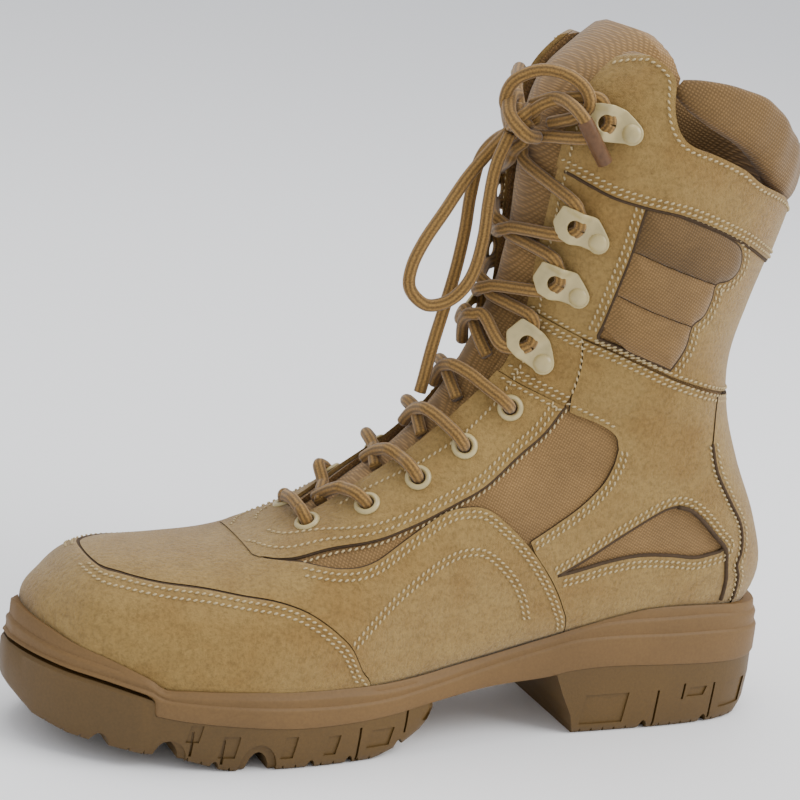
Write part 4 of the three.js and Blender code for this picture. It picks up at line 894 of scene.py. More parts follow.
def panel_lines():
    """Outline of each sewn panel in the side view, in millimetres."""
    toe = seam(TOE_SEAM)
    stay, band_low, band_top = seam(EYESTAY_LOW), seam(BAND_LOW), seam(BAND_TOP)
    cuff, quarter, counter = seam(CUFF_LOW), seam(QUARTER_TOP), seam(COUNTER_FRONT)
    back, band_seam = seam(BACK_SEAM), seam(BAND_SEAM)
    at = side
    rear_top = seam([(0.148, 0.462), (0.211, 0.492), (0.258, 0.518), (0.299, 0.542), (0.337, 0.566)])
    rear_low = seam([(0.344, 0.465), (0.348, 0.440), (0.308, 0.412), (0.284, 0.390), (0.278, 0.364)])
    window = closed_seam(HEEL_WINDOW)
    return {
        "toe_cap": poly(toe, at([(1.1, -0.2), (1.1, 0.4)])),
        "fore": poly(moved(toe, -0.4), at([(1.1, -0.2), (1.1, 0.4)])),
        "vamp": poly(at([(0.740, 0.40)]), seam([(0.733, 0.30), (0.728, 0.254), (0.715, 0.247)]), quarter,
                     at([(1.0, -0.08), (1.0, 0.40)])),
        "eyestay": poly(stay, moved(seam(BAND_LOW[1:]), -0.4), at([(0.60, 0.60), (0.735, 0.42)])),
        "ankle_band": poly(seam(BAND_TOP[:4]), band_seam, band_low),
        "rear_quarter": poly(rear_top, moved(band_seam, -0.4), rear_low[4:], counter,
                             moved(seam(QUARTER_TOP[8:]), -0.4), at([(0.316, -0.08), (0.074, -0.08)]),
                             moved(back, 0.4)[::-1]),
        "back_strip": poly(at([(-0.1, 0.43)]), seam([(0.05, 0.436), (0.124, 0.457), (0.148, 0.462)]), back,
                           at([(-0.1, -0.08)])),
        "shaft_panel": poly(cuff, at([(-0.1, 0.44)]), moved(band_top, -0.4)[::-1], at([(0.50, 0.72)])),
        "cuff": poly(cuff, at([(-0.1, 0.9), (0.2, 1.2), (0.5, 1.2)])),
        "heel_window": window, "shaft_window": closed_seam(SHAFT_WINDOW, 2.0, 4),
    }


def closed_seam(places, spacing=2.0, corners=0):
    line = side(places)
    if corners:
        sharp = line[:corners], line[corners - 1:corners + 2]
        return poly(curve(sharp[0], spacing)[:-1], curve(line[3:6], spacing)[:-1], curve(line[5:], spacing),
                    curve(np.vstack([line[-1:], line[:1]]), spacing)[1:-1])
    return curve(np.vstack([line, line[:1]]), spacing)[:-1]


class BOOT_OT_upper(bpy.types.Operator):
    """Hollow wall of woven nylon and its lining, and the insole in it"""
    bl_idname = "boot.upper"
    bl_label = "Hollow upper"

    def execute(self, context):
        collar = prism("collar_cut", poly(seam(COLLAR_TOP), side([(0.45, 1.6), (-0.05, 1.6)])))
        throat = add_object("throat_cut", loft(front_rings(THROAT)))
        for name, outer, inner, kind, nodes in (("upper_skin", 0.0, -1.0, "nylon", ("upper",)),
                                                ("upper_lining", -1.05, -WALL, "lining", ("upper",))):
            wall = boolean(last_solid(name, outer), ("DIFFERENCE", last_solid("hollow", inner)),
                           ("DIFFERENCE", collar), ("DIFFERENCE", throat))
            finish_piece(wall, finish_of(kind), *nodes)
            remove(bpy.data.objects["hollow"])
        top = above("insole_top", lambda x: bed_height(x) + WALL + GAP + 3.5)
        insole = boolean(last_solid("insole_pad", -WALL - GAP, 90, 64), ("DIFFERENCE", top))
        finish_piece(insole, finish_of("insole"), "insole")
        remove(collar, throat, top)
        return {"FINISHED"}


class BOOT_OT_tongue(bpy.types.Operator):
    """Padded tongue that rises above the collar"""
    bl_idname = "boot.tongue"
    bl_label = "Tongue"

    def execute(self, context):
        block = add_object("tongue_block", loft(front_rings(TONGUE, 0, 40)))
        inner = last_solid("tongue_inner", -WALL - GAP - 4.5, 170)
        tongue = boolean(last_solid("tongue_pad", -WALL - GAP, 170), ("DIFFERENCE", inner),
                         ("INTERSECT", block))
        finish_piece(tongue, finish_of("tongue"), "tongue")
        remove(block, inner)
        return {"FINISHED"}


class BOOT_OT_panels(bpy.types.Operator):
    """Toe cap, vamp, eyestays, bands, quarters, back strip, shaft panel and cuff"""
    bl_idname = "boot.panels"
    bl_label = "Sewn panels"

    def execute(self, context):
        size, lines = sizes(), panel_lines()
        top = table(SIDE_BANDS, 4)
        floor = above("sewn_floor", lambda x: top(x) - 3.7)
        edge_cut = add_object("edge_cut", loft(front_rings(THROAT, 2.5)))
        collar = prism("collar_cut", poly(seam(COLLAR_TOP), side([(0.45, 1.6), (-0.05, 1.6)])))
        inner = last_solid("inner", GAP)
        blanks = {}
        for name in ("overlay", "panel", "cuff"):
            blanks[name] = boolean(last_solid(f"blank_{name}", GAP + size[name]), ("DIFFERENCE", inner),
                                   ("INTERSECT", floor))
        cutters = {name: prism(f"{name}_cut", line) for name, line in lines.items()}
        bores = eyelet_bores()
        plan = {
            "toe_cap": ("overlay", [], ["toe_cap"]),
            "vamp": ("panel", [cutters["fore"], edge_cut], ["vamp"]),
            "eyestay": ("overlay", [edge_cut, *bores], ["eyestay_outer", "eyestay_inner"]),
            "ankle_band": ("panel", [edge_cut], ["ankle_band_outer", "ankle_band_inner"]),
            "rear_quarter": ("panel", [cutters["heel_window"]], ["rear_quarter_outer", "rear_quarter_inner"]),
            "back_strip": ("overlay", [], ["back_strip"]),
            "shaft_panel": ("panel", [cutters["shaft_window"], edge_cut], ["shaft_panel"]),
            "cuff": ("cuff", [collar, edge_cut], ["cuff"]),
        }
        for name, (blank, cuts, nodes) in plan.items():
            piece = boolean(copy_of(blanks[blank], f"{name}_suede"), ("INTERSECT", cutters[name]),
                            *[("DIFFERENCE", cut) for cut in cuts])
            outline = lines[name]
            if name == "rear_quarter":
                outline = poly(outline, lines["heel_window"])
            finish_piece(piece, finish_of("suede"), *nodes, edge=finish_of("edge"), outline=outline)
        remove(floor, edge_cut, collar, inner, *blanks.values(), *cutters.values(), *bores)
        return {"FINISHED"}


def eyelet_bores():
    bores = []
    for flank in (1, -1):
        for k, place in enumerate(EYELETS):
            frame_of = metal_frame(place, flank, 0)
            rings = [[frame_of @ Vector((2.8 * math.cos(a), 2.8 * math.sin(a), z))
                      for a in np.linspace(0, 2 * math.pi, 20, endpoint=False)] for z in (-7, 7)]
            bores.append(add_object(f"bore_{flank}_{k}", loft([[tuple(p) for p in ring] for ring in rings])))
    return bores


def metal_frame(place, flank, lift, ahead=(1, 0)):
    """Matrix in millimetres that sets metal, made around the Z axis, on the surface."""
    t, angle = locate(side([place]), flank)
    point, normal = form(t, angle, 1.3)[0], Vector(normals(t, angle, 1.3)[0])
    forward = Vector((ahead[0], 0, ahead[1]))
    forward = (forward - normal * forward.dot(normal)).normalized()
    across = normal.cross(forward)
    matrix = Matrix((forward, across, normal)).transposed().to_4x4()
    matrix.translation = Vector(point) + normal * lift
    return matrix


class BOOT_OT_padding(bpy.types.Operator):
    """Stuffed channels in the shaft windows, and the collar roll"""
    bl_idname = "boot.padding"
    bl_label = "Padding"

    def execute(self, context):
        window = closed_seam(SHAFT_WINDOW, 1.5, 4)
        t = np.linspace(15.6, 21.4, 110)[:, None]
        angle = np.linspace(0, 2 * math.pi, 260, endpoint=False)[None, :]
        slab = boolean(add_object("pad_slab", loft(form(t, angle, GAP + 1.0))),
                       ("DIFFERENCE", add_object("pad_core", loft(form(t, angle, GAP)))))
        cut = prism("pad_window", window)
        for i in range(3):
            low, high = seam(PAD_JOINTS[i + 1]), seam(PAD_JOINTS[i])
            channel_line = poly(moved(high, 0.15), moved(low, -0.15)[::-1])
            channel = prism("pad_channel", channel_line)
            both = boolean(copy_of(slab, f"pad_{i + 1}"), ("INTERSECT", cut), ("INTERSECT", channel))
            co = np.array([v.co for v in both.data.vertices]) * 1000 + ORIGIN
            place = co[:, [0, 2]]
            edge = np.minimum(distance(place, np.vstack([window, window[:1]])),
                              np.minimum(distance(place, low), distance(place, high)))
            for flank in (1, -1):
                on = co[:, 1] * flank > 0
                tt, aa = locate(place[on], flank)
                outer = np.abs(co[on, 1]) > np.abs(form(tt, aa, GAP + 0.5)[:, 1])
                lift = np.where(outer, 2.6 * (1 - np.exp(-edge[on] / 3.2)), 0)
                co[on] += normals(tt, aa, GAP) * lift[:, None]
            for v, p in zip(both.data.vertices, to_frame(co)):
                v.co = p
            finish_piece(both, finish_of("nylon_dark" if i == 0 else "nylon"), f"shaft_pad_outer_{i + 1}",
                         f"shaft_pad_inner_{i + 1}", angle=60)
            remove(channel)
        remove(slab, cut, bpy.data.objects["pad_core"])
        height, top, reach, outer, span = 0.60, 21.45, 5.5, 2.5, math.radians(121)
        turn = np.linspace(1, -1, 110)[:, None]
        full = 0.30 + 0.70 * (1 - np.abs(turn) ** 8)
        ripple = 0.25 * np.sin(turn * 47) * (1 - turn ** 4)
        around = np.linspace(0, 2 * math.pi, 28, endpoint=False)[None, :]
        up = np.sign(np.cos(around)) * np.abs(np.cos(around)) ** 0.75
        out = np.sign(np.sin(around)) * np.abs(np.sin(around)) ** 0.75
        lift = 0.55 * smooth(np.abs(turn), 0.35, 0.75) - 0.12
        grow = outer - reach + out * full * reach + ripple * (out > 0)
        rings = form(top + lift + up * height * full, span * turn, grow)
        roll = add_object("collar_padding", loft(rings))
        room = prism("roll_room", poly(moved(seam(COLLAR_TOP), 0.5), side([(0.45, 1.6), (-0.05, 1.6)])))
        boolean(roll, ("INTERSECT", room))
        finish_piece(roll, finish_of("collar"), "collar_roll")
        remove(room)
        return {"FINISHED"}


# Seams
def seam_rows():
    """Each stitched row: its side view line, the height it lies at, and the panels' thickness there."""
    size = sizes()
    over, under, cuff = (GAP + size[k] for k in ("overlay", "panel", "cuff"))
    toe, stay, quarter = seam(TOE_SEAM, 1), seam(EYESTAY_LOW, 1), seam(QUARTER_TOP, 1)
    band, back = seam(BAND_TOP, 1), seam(BACK_SEAM, 1)
    counter = seam(COUNTER_FRONT, 1)
    cuff_low, arch, low_band = seam(CUFF_LOW, 1), seam(INNER_ARCH, 1), seam(BAND_LOW, 1)
    heel = np.vstack([closed_seam(HEEL_WINDOW, 1), closed_seam(HEEL_WINDOW, 1)[:1]])
    return [
        (moved(toe, 1.6), over), (moved(toe, 3.7), over),
        (moved(stay, -1.6), over), (moved(stay, -3.9), over), (moved(stay, 1.7), under - 0.9),
        (moved(low_band, 1.8), under), (moved(low_band, 4.0), under), (moved(low_band, -1.7), over),
        (moved(quarter, 1.6), under), (moved(quarter, 3.6), under),
        (arch, under), (moved(arch, 2.2), under),
        (moved(band, 1.5), under), (moved(band, 3.5), under), (moved(band, -1.4), under),
        (moved(back, 1.6), under), (moved(back, -1.5), over),
        (moved(cuff_low, -1.5), cuff), (moved(cuff_low, -3.6), cuff),
        (seam(BAND_SEAM, 1), under), (moved(heel, -1.9), under), (moved(heel, -4.0), under),
        (moved(counter, -1.6), under), (moved(counter, -3.7), under),
        (moved(seam(SHAFT_WINDOW[:4], 1), 1.6), under), (moved(seam(SHAFT_WINDOW[:4], 1), 3.7), under),
        (moved(seam(SHAFT_WINDOW[5:], 1), 1.6), under), (moved(seam(SHAFT_WINDOW[5:], 1), 3.7), under),
        (moved(seam(SHAFT_WINDOW[3:6], 1), 1.5), under), (moved(seam(REAR_TOP[:3], 1), -1.6), under),
        (moved(seam(COLLAR_TOP[1:14], 1), -2.2), cuff),
    ]


def throat_angle(t, inside):
    row = rows_at(t)
    half = np.interp(t, THROAT[:, 0], THROAT[:, 1]) * BALL_WIDTH - inside
    share = np.clip(2 * half / ((row[..., 4] + row[..., 5]) * BALL_WIDTH), 0, 1)
    return np.pi - np.arcsin(share ** (row[..., 8] / 2))


def visible(t, angle, points, margin=1.2):
    """Where a row lies on the upper: above the sole and clear of the throat."""
    top = table(SIDE_BANDS, 4)(np.clip(points[:, 0] / LENGTH, 0, 1)) + 0.8
    half = np.interp(t, THROAT[:, 0], THROAT[:, 1], left=0) * BALL_WIDTH + 2.5 + margin
    in_throat = (t > 6.9) & (np.abs(points[:, 1]) < half) & (np.cos(angle) < 0)
    return (points[:, 2] > top) & ~in_throat & (t > 0.1)


class BOOT_OT_seams(bpy.types.Operator):
    """Double rows of stitches along the panels' edges"""
    bl_idname = "boot.seams"
    bl_label = "Seams"

    def execute(self, context):
        size = sizes()
        rows = []
        for flank in (1, -1):
            for line, grow in seam_rows():
                t, angle = locate(line, flank)
                points = form(t, angle, np.full(t.shape, grow + size["thread"] * 0.25))
                _, back, front = ends_at(t, np.full(t.shape, 1.3))
                d = front - back
                s = ((line - back) * d).sum(1) / (d * d).sum(1)
                rows.append((points, normals(t, angle, grow),
                             visible(t, angle, points) & (s > 0.001) & (s < 0.997)))
            t = np.linspace(7.6, 20.7, 420)
            for inside in (-4.6,):
                angle = throat_angle(t, inside)
                angle = angle if flank > 0 else 2 * np.pi - angle
                grow = np.where(t < 13.0, GAP + size["overlay"],
                                np.where(t < 19.1, GAP + size["panel"], GAP + size["cuff"]))
                points = form(t, angle, grow + size["thread"] * 0.2)
                rows.append((points, normals(t, angle, grow), visible(t, angle, points, 0.5)))
        bm = bmesh.new()
        pitch = size["stitch"] + 0.35
        for points, normal, seen in rows:
            points = soften(points)
            reach = np.concatenate([[0], np.cumsum(np.linalg.norm(np.diff(points, axis=0), axis=1))])
            if reach[-1] < 4:
                continue
            at = np.arange(1.0, reach[-1] - 1, pitch)
            centre = np.stack([np.interp(at, reach, points[:, i]) for i in range(3)], 1)
            ahead = np.stack([np.interp(at + 0.5, reach, points[:, i]) for i in range(3)], 1)
            up = np.stack([np.interp(at, reach, normal[:, i]) for i in range(3)], 1)
            shown = np.interp(at, reach, seen.astype(float)) > 0.99
            for c, a, n in zip(centre[shown], ahead[shown], up[shown]):
                along = Vector(a - c).normalized()
                n = (Vector(n) - along * Vector(n).dot(along)).normalized()
                turn = Matrix((along, n.cross(along), n)).transposed().to_4x4() @ Matrix.Rotation(0.5, 4, "Z")
                turn.translation = Vector(to_frame(c))
                thick = size["thread"] / 1000
                scale = Matrix.Diagonal((size["stitch"] / 1000, thick, thick, 1))
                bmesh.ops.create_icosphere(bm, subdivisions=1, radius=0.5, matrix=turn @ scale)
        stitches = add_object("seam_stitches", bm, finish_of("thread"))
        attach(stitches, "root")
        return {"FINISHED"}


# Tubes: piping, laces and metal
def tube(name, points, radius, material, sides=16, spacing=1.2):
    """A round tube along points in millimetres, its UV map in millimetres along and one turn around."""
    line = curve(points, spacing)
    along = np.gradient(line, axis=0)
    along /= np.linalg.norm(along, axis=1, keepdims=True)
    across = np.cross(along[0], [0.3, 0.2, 0.9])
    across /= np.linalg.norm(across)
    frames = []
    for a in along:
        across = across - a * (across @ a)
        across /= np.linalg.norm(across)
        frames.append((across, np.cross(a, across)))
    turn = np.linspace(0, 2 * math.pi, sides, endpoint=False)
    rings = np.array([p + radius * (np.cos(turn)[:, None] * u + np.sin(turn)[:, None] * v)
                      for p, (u, v) in zip(line, frames)])
    obj = add_object(name, loft(rings, uv=(len(line) * spacing, 1.0)), material)
    return obj, to_frame(line)


def joined(name, pieces):
    """Several pieces as one object."""
    first = pieces[0]
    with bpy.context.temp_override(active_object=first, object=first, selected_editable_objects=pieces,
                                   selected_objects=pieces):
        bpy.ops.object.join()
    first.name = name
    return first


class BOOT_OT_piping(bpy.types.Operator):
    """Dark piping along the cuff, the eyestay and the windows"""
    bl_idname = "boot.piping"
    bl_label = "Piping"

    def execute(self, context):
        size, pieces = sizes(), []
        shaft = closed_seam(SHAFT_WINDOW, 2.0, 4)
        heel = closed_seam(HEEL_WINDOW)
        rows = [(moved(seam(EYESTAY_LOW), 0.3), GAP + 0.2, 0.75),
                (moved(seam(CUFF_LOW), 0.5), GAP + size["panel"], 0.7),
                (np.vstack([shaft, shaft[:1]]), GAP + 0.5, 0.8),
                (np.vstack([heel, heel[:1]]), GAP + 0.4, 0.8)]
        rows.append((seam(HEEL_PIPE), GAP + size["panel"] + 0.2, 0.9))
        rows.append((moved(seam(BACK_SEAM), 0.3), GAP + size["panel"] + 0.2, 0.7))
        for flank in (1, -1):
            for line, grow, radius in rows:
                t, angle = locate(line, flank)
                points = soften(form(t, angle, grow))
                seen = visible(t, angle, points, 0.0) & inside_last(line)
                for run in np.split(np.arange(len(points)), np.flatnonzero(~seen)):
                    run = run[seen[run]]
                    if len(run) > 4:
                        pieces.append(tube("piping", points[run], radius, finish_of("edge"), 8, 2.0)[0])
        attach(joined("piping", pieces), "root")
        return {"FINISHED"}


def inside_last(line):
    ts, _ = locate(line, 1)
    _, back, front = ends_at(ts, np.full(ts.shape, 1.3))
    d = front - back
    s = ((line - back) * d).sum(1) / (d * d).sum(1)
    return (s > 0.004) & (s < 0.996)


EYELET_OUTER = 5.25
EYELET_HOLE = 2.9
HOOK_SPAN = 9.6
HOOK_OUTLINE = [(1.2, -6.9), (-4.6, -6.7), (-8.8, -3.1), (-9.2, -2.2), (-8.7, 4.8), (-8.0, 5.6),
                (-3.5, 6.9), (1.3, 7.5),
                (5.3, 6.6), (8.8, 4.7)]


class BOOT_OT_metal(bpy.types.Operator):
    """Rolled eyelets and riveted lacing hooks"""
    bl_idname = "boot.metal"
    bl_label = "Eyelets and hooks"

    def execute(self, context):
        for flank, word in ((1, "outer"), (-1, "inner")):
            for k, place in enumerate(EYELETS):
                eyelet = add_object(f"eyelet_{word}_{k + 1}_ring",
                                    eyelet_ring(metal_frame(place, flank, 0.55)),
                                    finish_of("metal"))
                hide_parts(f"eyelet_{word}_{k + 1}")
                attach(eyelet, "root")
            for k, (hole, rivet, under) in enumerate(HOOKS):
                ahead = side([rivet])[0] - side([hole])[0]
                hook = add_object(f"hook_{word}_{k + 1}_plate",
                                  hook_plate(metal_frame(hole, flank, under - 0.8, tuple(ahead)), flank),
                                  finish_of("metal"))
                hook.data.set_sharp_from_angle(angle=math.radians(55))
                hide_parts(f"hook_{word}_{k + 1}")
                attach(hook, "root")
        return {"FINISHED"}


def eyelet_ring(place):
    """A rolled flange with its barrel, spun from its profile."""
    outer, hole = EYELET_OUTER, EYELET_HOLE
    profile = [(hole, -2.6), (hole, 0.2), (hole + 0.25, 0.85), (hole + 0.8, 1.15), (outer - 0.9, 1.0),
               (outer - 0.25, 0.55), (outer, 0.0), (outer - 0.4, -0.25), (hole + 0.5, -0.25),
               (hole + 0.5, -2.6)]
    bm = bmesh.new()
    verts = [bm.verts.new((x, 0, z)) for x, z in profile]
    edges = [bm.edges.new((a, b)) for a, b in zip(verts, verts[1:] + verts[:1])]
    bmesh.ops.spin(bm, geom=verts + edges, cent=(0, 0, 0), axis=(0, 0, 1), angle=2 * math.pi, steps=32,
                   use_merge=True)
    bmesh.ops.recalc_face_normals(bm, faces=bm.faces)
    for v in bm.verts:
        v.co = to_frame(place @ v.co)
    return bm


def hook_rise(x, y):
    """Height of the plate over the leather: flat at its rivet, lifted over the lace, its lip bent out."""
    lip = 1.8 * float(smooth(y, 3.6, 7.0)) * float(smooth(-x, -4.5, -0.5))
    return 0.1 + 4.6 * float(smooth(-x, -5.2, 0.5)) - 0.9 * float(smooth(-x, 4.5, 9.0)) + lip


def hook_plate(place, flank):
    """A plate that narrows to its rivet, with a round hole, bent up over the lace."""
    hole, rivet_rim = 3.2, 4.5
    turn = np.linspace(0, 2 * math.pi, 64, endpoint=False)
    inner = np.stack([hole * np.cos(turn), hole * np.sin(turn)], 1)
    hull = np.array(HOOK_OUTLINE + [(HOOK_SPAN + rivet_rim * math.cos(a), -1.2 + rivet_rim * math.sin(a))
                                    for a in np.linspace(1.1, -1.9, 16)])
    hull[:, 1] *= flank
    bearing = np.arctan2(hull[:, 1], hull[:, 0])
    order = np.argsort(bearing)
    outer = []
    for a in turn:
        ray = np.array([math.cos(a), math.sin(a)])
        near = None
        for p, q in zip(hull[order], np.roll(hull[order], -1, 0)):
            d = q - p
            cross = ray[0] * d[1] - ray[1] * d[0]
            if abs(cross) > 1e-9:
                reach = (p[0] * d[1] - p[1] * d[0]) / cross
                share = (p[0] * ray[1] - p[1] * ray[0]) / cross
                if reach > 0 and -0.001 <= share <= 1.001 and (near is None or reach > near):
                    near = reach
        outer.append(ray * near)
    outer = np.array(outer)
    bm = bmesh.new()
    rings = []
    for share in (0.0, 0.18, 0.45, 0.72, 1.0):
        flat = inner + (outer - inner) * share
        rings.append([bm.verts.new((x, y, hook_rise(x, y * flank))) for x, y in flat])
    for low, high in zip(rings, rings[1:]):
        for i in range(len(low)):
            bm.faces.new((low[i], high[i], high[(i + 1) % len(low)], low[(i + 1) % len(low)]))
    grown = bmesh.ops.extrude_face_region(bm, geom=list(bm.faces))
    up = [g for g in grown["geom"] if isinstance(g, bmesh.types.BMVert)]
    bmesh.ops.translate(bm, verts=up, vec=(0, 0, 1.3))
    bmesh.ops.recalc_face_normals(bm, faces=bm.faces)
    rims = [e for e in bm.edges if e.calc_face_angle(0) > 1.0]
    bmesh.ops.bevel(bm, geom=rims, offset=0.4, segments=2, profile=0.5, affect="EDGES", material=-1)
    head = [(0.0, 3.1), (1.4, 2.95), (2.6, 2.5), (3.4, 1.9), (3.8, 1.3), (3.8, 0.2), (0.0, 0.2)]
    verts = [bm.verts.new((HOOK_SPAN + x, -1.2 * flank, z)) for x, z in head]
    edges = [bm.edges.new((a, b)) for a, b in zip(verts[:-1], verts[1:])]
    bmesh.ops.spin(bm, geom=verts + edges, cent=(HOOK_SPAN, -1.2 * flank, 0), axis=(0, 0, 1),
                   angle=2 * math.pi,
                   steps=28, use_merge=True)
    bmesh.ops.remove_doubles(bm, verts=bm.verts, dist=1e-4)
    bmesh.ops.recalc_face_normals(bm, faces=bm.faces)
    for v in bm.verts:
        v.co = to_frame(place @ v.co)
    return bm


# Laces
BAR_RISE = [0, 0.3, 1.6, 1.9, 1.6, 0.3, 0]


def on_side(angle, flank):
    return angle if flank > 0 else 2 * math.pi - angle


def lace_places():
    places = [locate(side([p]), 1) for p in EYELETS + [h[0] for h in HOOKS]]
    return [(float(t[0]), float(a[0])) for t, a in places]


def into_eyelet(place, flank, towards):
    """Points that take a lace over an eyelet's rim and down its hole."""
    frame_of = metal_frame(place, flank, 0)
    centre, normal = np.array(frame_of.translation), np.array(frame_of.col[2][:3])
    back = towards - centre
    back -= normal * (back @ normal)
    back /= np.linalg.norm(back)
    steps = ((6.0, 4.3), (3.0, 3.9), (0.9, 2.0), (0.1, -1.5), (0.0, -4.0))
    return [centre + back * out + normal * up for out, up in steps]


def behind_hook(k, flank, upper):
    """Points that take a lace behind a hook's raised front, from above it or below it."""
    hole, rivet, under = HOOKS[k]
    ahead = side([rivet])[0] - side([hole])[0]
    frame_of = metal_frame(hole, flank, under - 0.8, tuple(ahead))
    sign = (1 if upper else -1) * (1 if frame_of.col[1][2] > 0 else -1)
    return [np.array(frame_of @ Vector((x, y * sign, z)))
            for x, y, z in ((1.0, 0.0, 2.6), (0.2, 2.6, 2.7), (-2.6, 5.4, 2.9), (-7.5, 8.0, 3.4))]


def level_span(first, last, t_low, t_high, angles, grow):
    """Points over the tongue whose heights change evenly from one hook's front to the next one's."""
    share = (angles - angles[0]) / (angles[-1] - angles[0])
    ts = np.linspace(t_low - 2.0, t_high + 2.0, 120)
    points = []
    for part, angle, out in zip(share, angles, grow):
        column = form(ts, np.full(120, angle), np.full(120, out))
        t = np.interp(first[2] + (last[2] - first[2]) * part, column[:, 2], ts)
        points.append(form(float(t), float(angle), float(out)))
    return points


class BOOT_OT_lacing(bpy.types.Operator):
    """Laces that cross the tongue from eyelet to eyelet and hook to hook"""
    bl_idname = "boot.lacing"
    bl_label = "Lacing"

    def execute(self, context):
        radius = sizes()["lace"] / 2
        places = lace_places()
        for i, (t_high, a_high) in enumerate(places[1:]):
            strands = []
            for flank in (1, -1):
                t_low = places[i][0] + 0.35
                start = float(throat_angle(np.array([t_low]), 4.8)[0])
                end = a_high if i + 1 < len(EYELETS) else float(throat_angle(np.array([t_high]), 0)[0])
                start, end = on_side(start, -flank), on_side(end, flank)
                low, edge = (0.6, 4.4) if i + 1 < len(EYELETS) else (0.4, 4.2)
                middle = low + (4.9 if flank > 0 else 0)
                u = np.array([0.0, 0.12, 0.28, 0.42, 0.5, 0.58, 0.70, 0.82])
                grow = np.interp(u, [0, 0.25, 0.5, 0.72, 0.82],
                                 [low - 0.4, (low + middle) / 2, middle, edge, edge])
                climb = 1 - (1 - u) ** 1.2 if flank > 0 else u ** 1.2
                points = list(form(t_low + (t_high - t_low) * climb, start + (end - start) * u, grow))
                if i >= len(EYELETS):
                    points = level_span(behind_hook(i - len(EYELETS), -flank, True)[-1],
                                        behind_hook(i + 1 - len(EYELETS), flank, False)[-1],
                                        t_low, t_high, start + (end - start) * u, grow)
                    points = behind_hook(i - len(EYELETS), -flank, True) + points[2:]
                if i + 1 < len(EYELETS):
                    centre = form(t_high, a_high if flank > 0 else 2 * math.pi - a_high, 4.4)
                    points = [p for p in points if np.linalg.norm(p - centre) > 9.5]
                    points += into_eyelet(EYELETS[i + 1], flank, points[-1])
                else:
                    points = points[:-1] + behind_hook(i + 1 - len(EYELETS), flank, False)[::-1]
                strands.append(tube("strand", points, radius, finish_of("lace"))[0])
            lace = joined(f"crossing_{i + 1}", strands)
            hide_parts(f"lace_cross_{i + 1}")
            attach(lace, "root")
        t, angle = places[0]
        ride = [5.4, 5.0, 5.0, 5.4, 5.0, 5.0, 5.4]
        share = np.linspace(0, 1, 7)[1:-1]
        span = list(form(t, angle + (2 * math.pi - 2 * angle) * share,
                         np.array(ride[1:-1]) + np.array(BAR_RISE[1:-1]) * 0.4))
        points = (into_eyelet(EYELETS[0], 1, span[0])[::-1] + span + into_eyelet(EYELETS[0], -1, span[-1]))
        bar, _ = tube("bar", points, radius, finish_of("lace"))
        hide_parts("lace_bar")
        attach(bar, "root")
        knot = bow_point(KNOT)
        ties = []
        for flank in (1, -1):
            points = behind_hook(3, flank, True)
            points += [points[-1] * 0.45 + knot * 0.55 + [2, 0, 3], knot]
            ties.append(tube("tie", points, radius, finish_of("lace"))[0])
        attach(joined("ties_to_knot", ties), "root")
        return {"FINISHED"}


# The bow, in shares of the boot's length, its ball width and the shaft's rise above the floor
KNOT = (0.426, 0.130, 1.117)
BOW = {
    "lace_loop_upper": [
        (0.430, 0.074, 1.114), (0.445, 0.093, 1.146), (0.441, 0.130, 1.184), (0.419, 0.185, 1.207),
        (0.396, 0.250, 1.207), (0.378, 0.306, 1.189), (0.373, 0.333, 1.162), (0.380, 0.287, 1.137),
        (0.394, 0.167, 1.115)],
    "lace_loop_hanging": [
        (0.433, 0.100, 1.098), (0.447, 0.028, 1.050), (0.474, 0.028, 1.000), (0.502, 0.046, 0.941),
        (0.525, 0.056, 0.891), (0.538, 0.056, 0.845), (0.538, 0.056, 0.805), (0.517, 0.065, 0.777),
        (0.492, 0.074, 0.782), (0.474, 0.093, 0.807), (0.460, 0.093, 0.845), (0.453, 0.093, 0.905),
        (0.453, 0.102, 0.968), (0.450, 0.111, 1.032), (0.438, 0.120, 1.090)],
    "lace_end_long": [
        (0.423, 0.093, 1.095), (0.433, -0.014, 1.068), (0.447, -0.046, 1.029), (0.456, -0.037, 0.966),
        (0.460, -0.028, 0.902), (0.468, -0.019, 0.830), (0.480, -0.009, 0.758), (0.491, 0.000, 0.695),
        (0.500, 0.009, 0.631), (0.503, 0.009, 0.609)],
    "lace_end_short": [
        (0.414, 0.130, 1.144), (0.401, 0.231, 1.164), (0.394, 0.315, 1.159), (0.388, 0.380, 1.143),
        (0.381, 0.384, 1.127)],
}


def bow_point(place):
    return np.array(place) * [LENGTH, BALL_WIDTH, SHAFT_RISE]


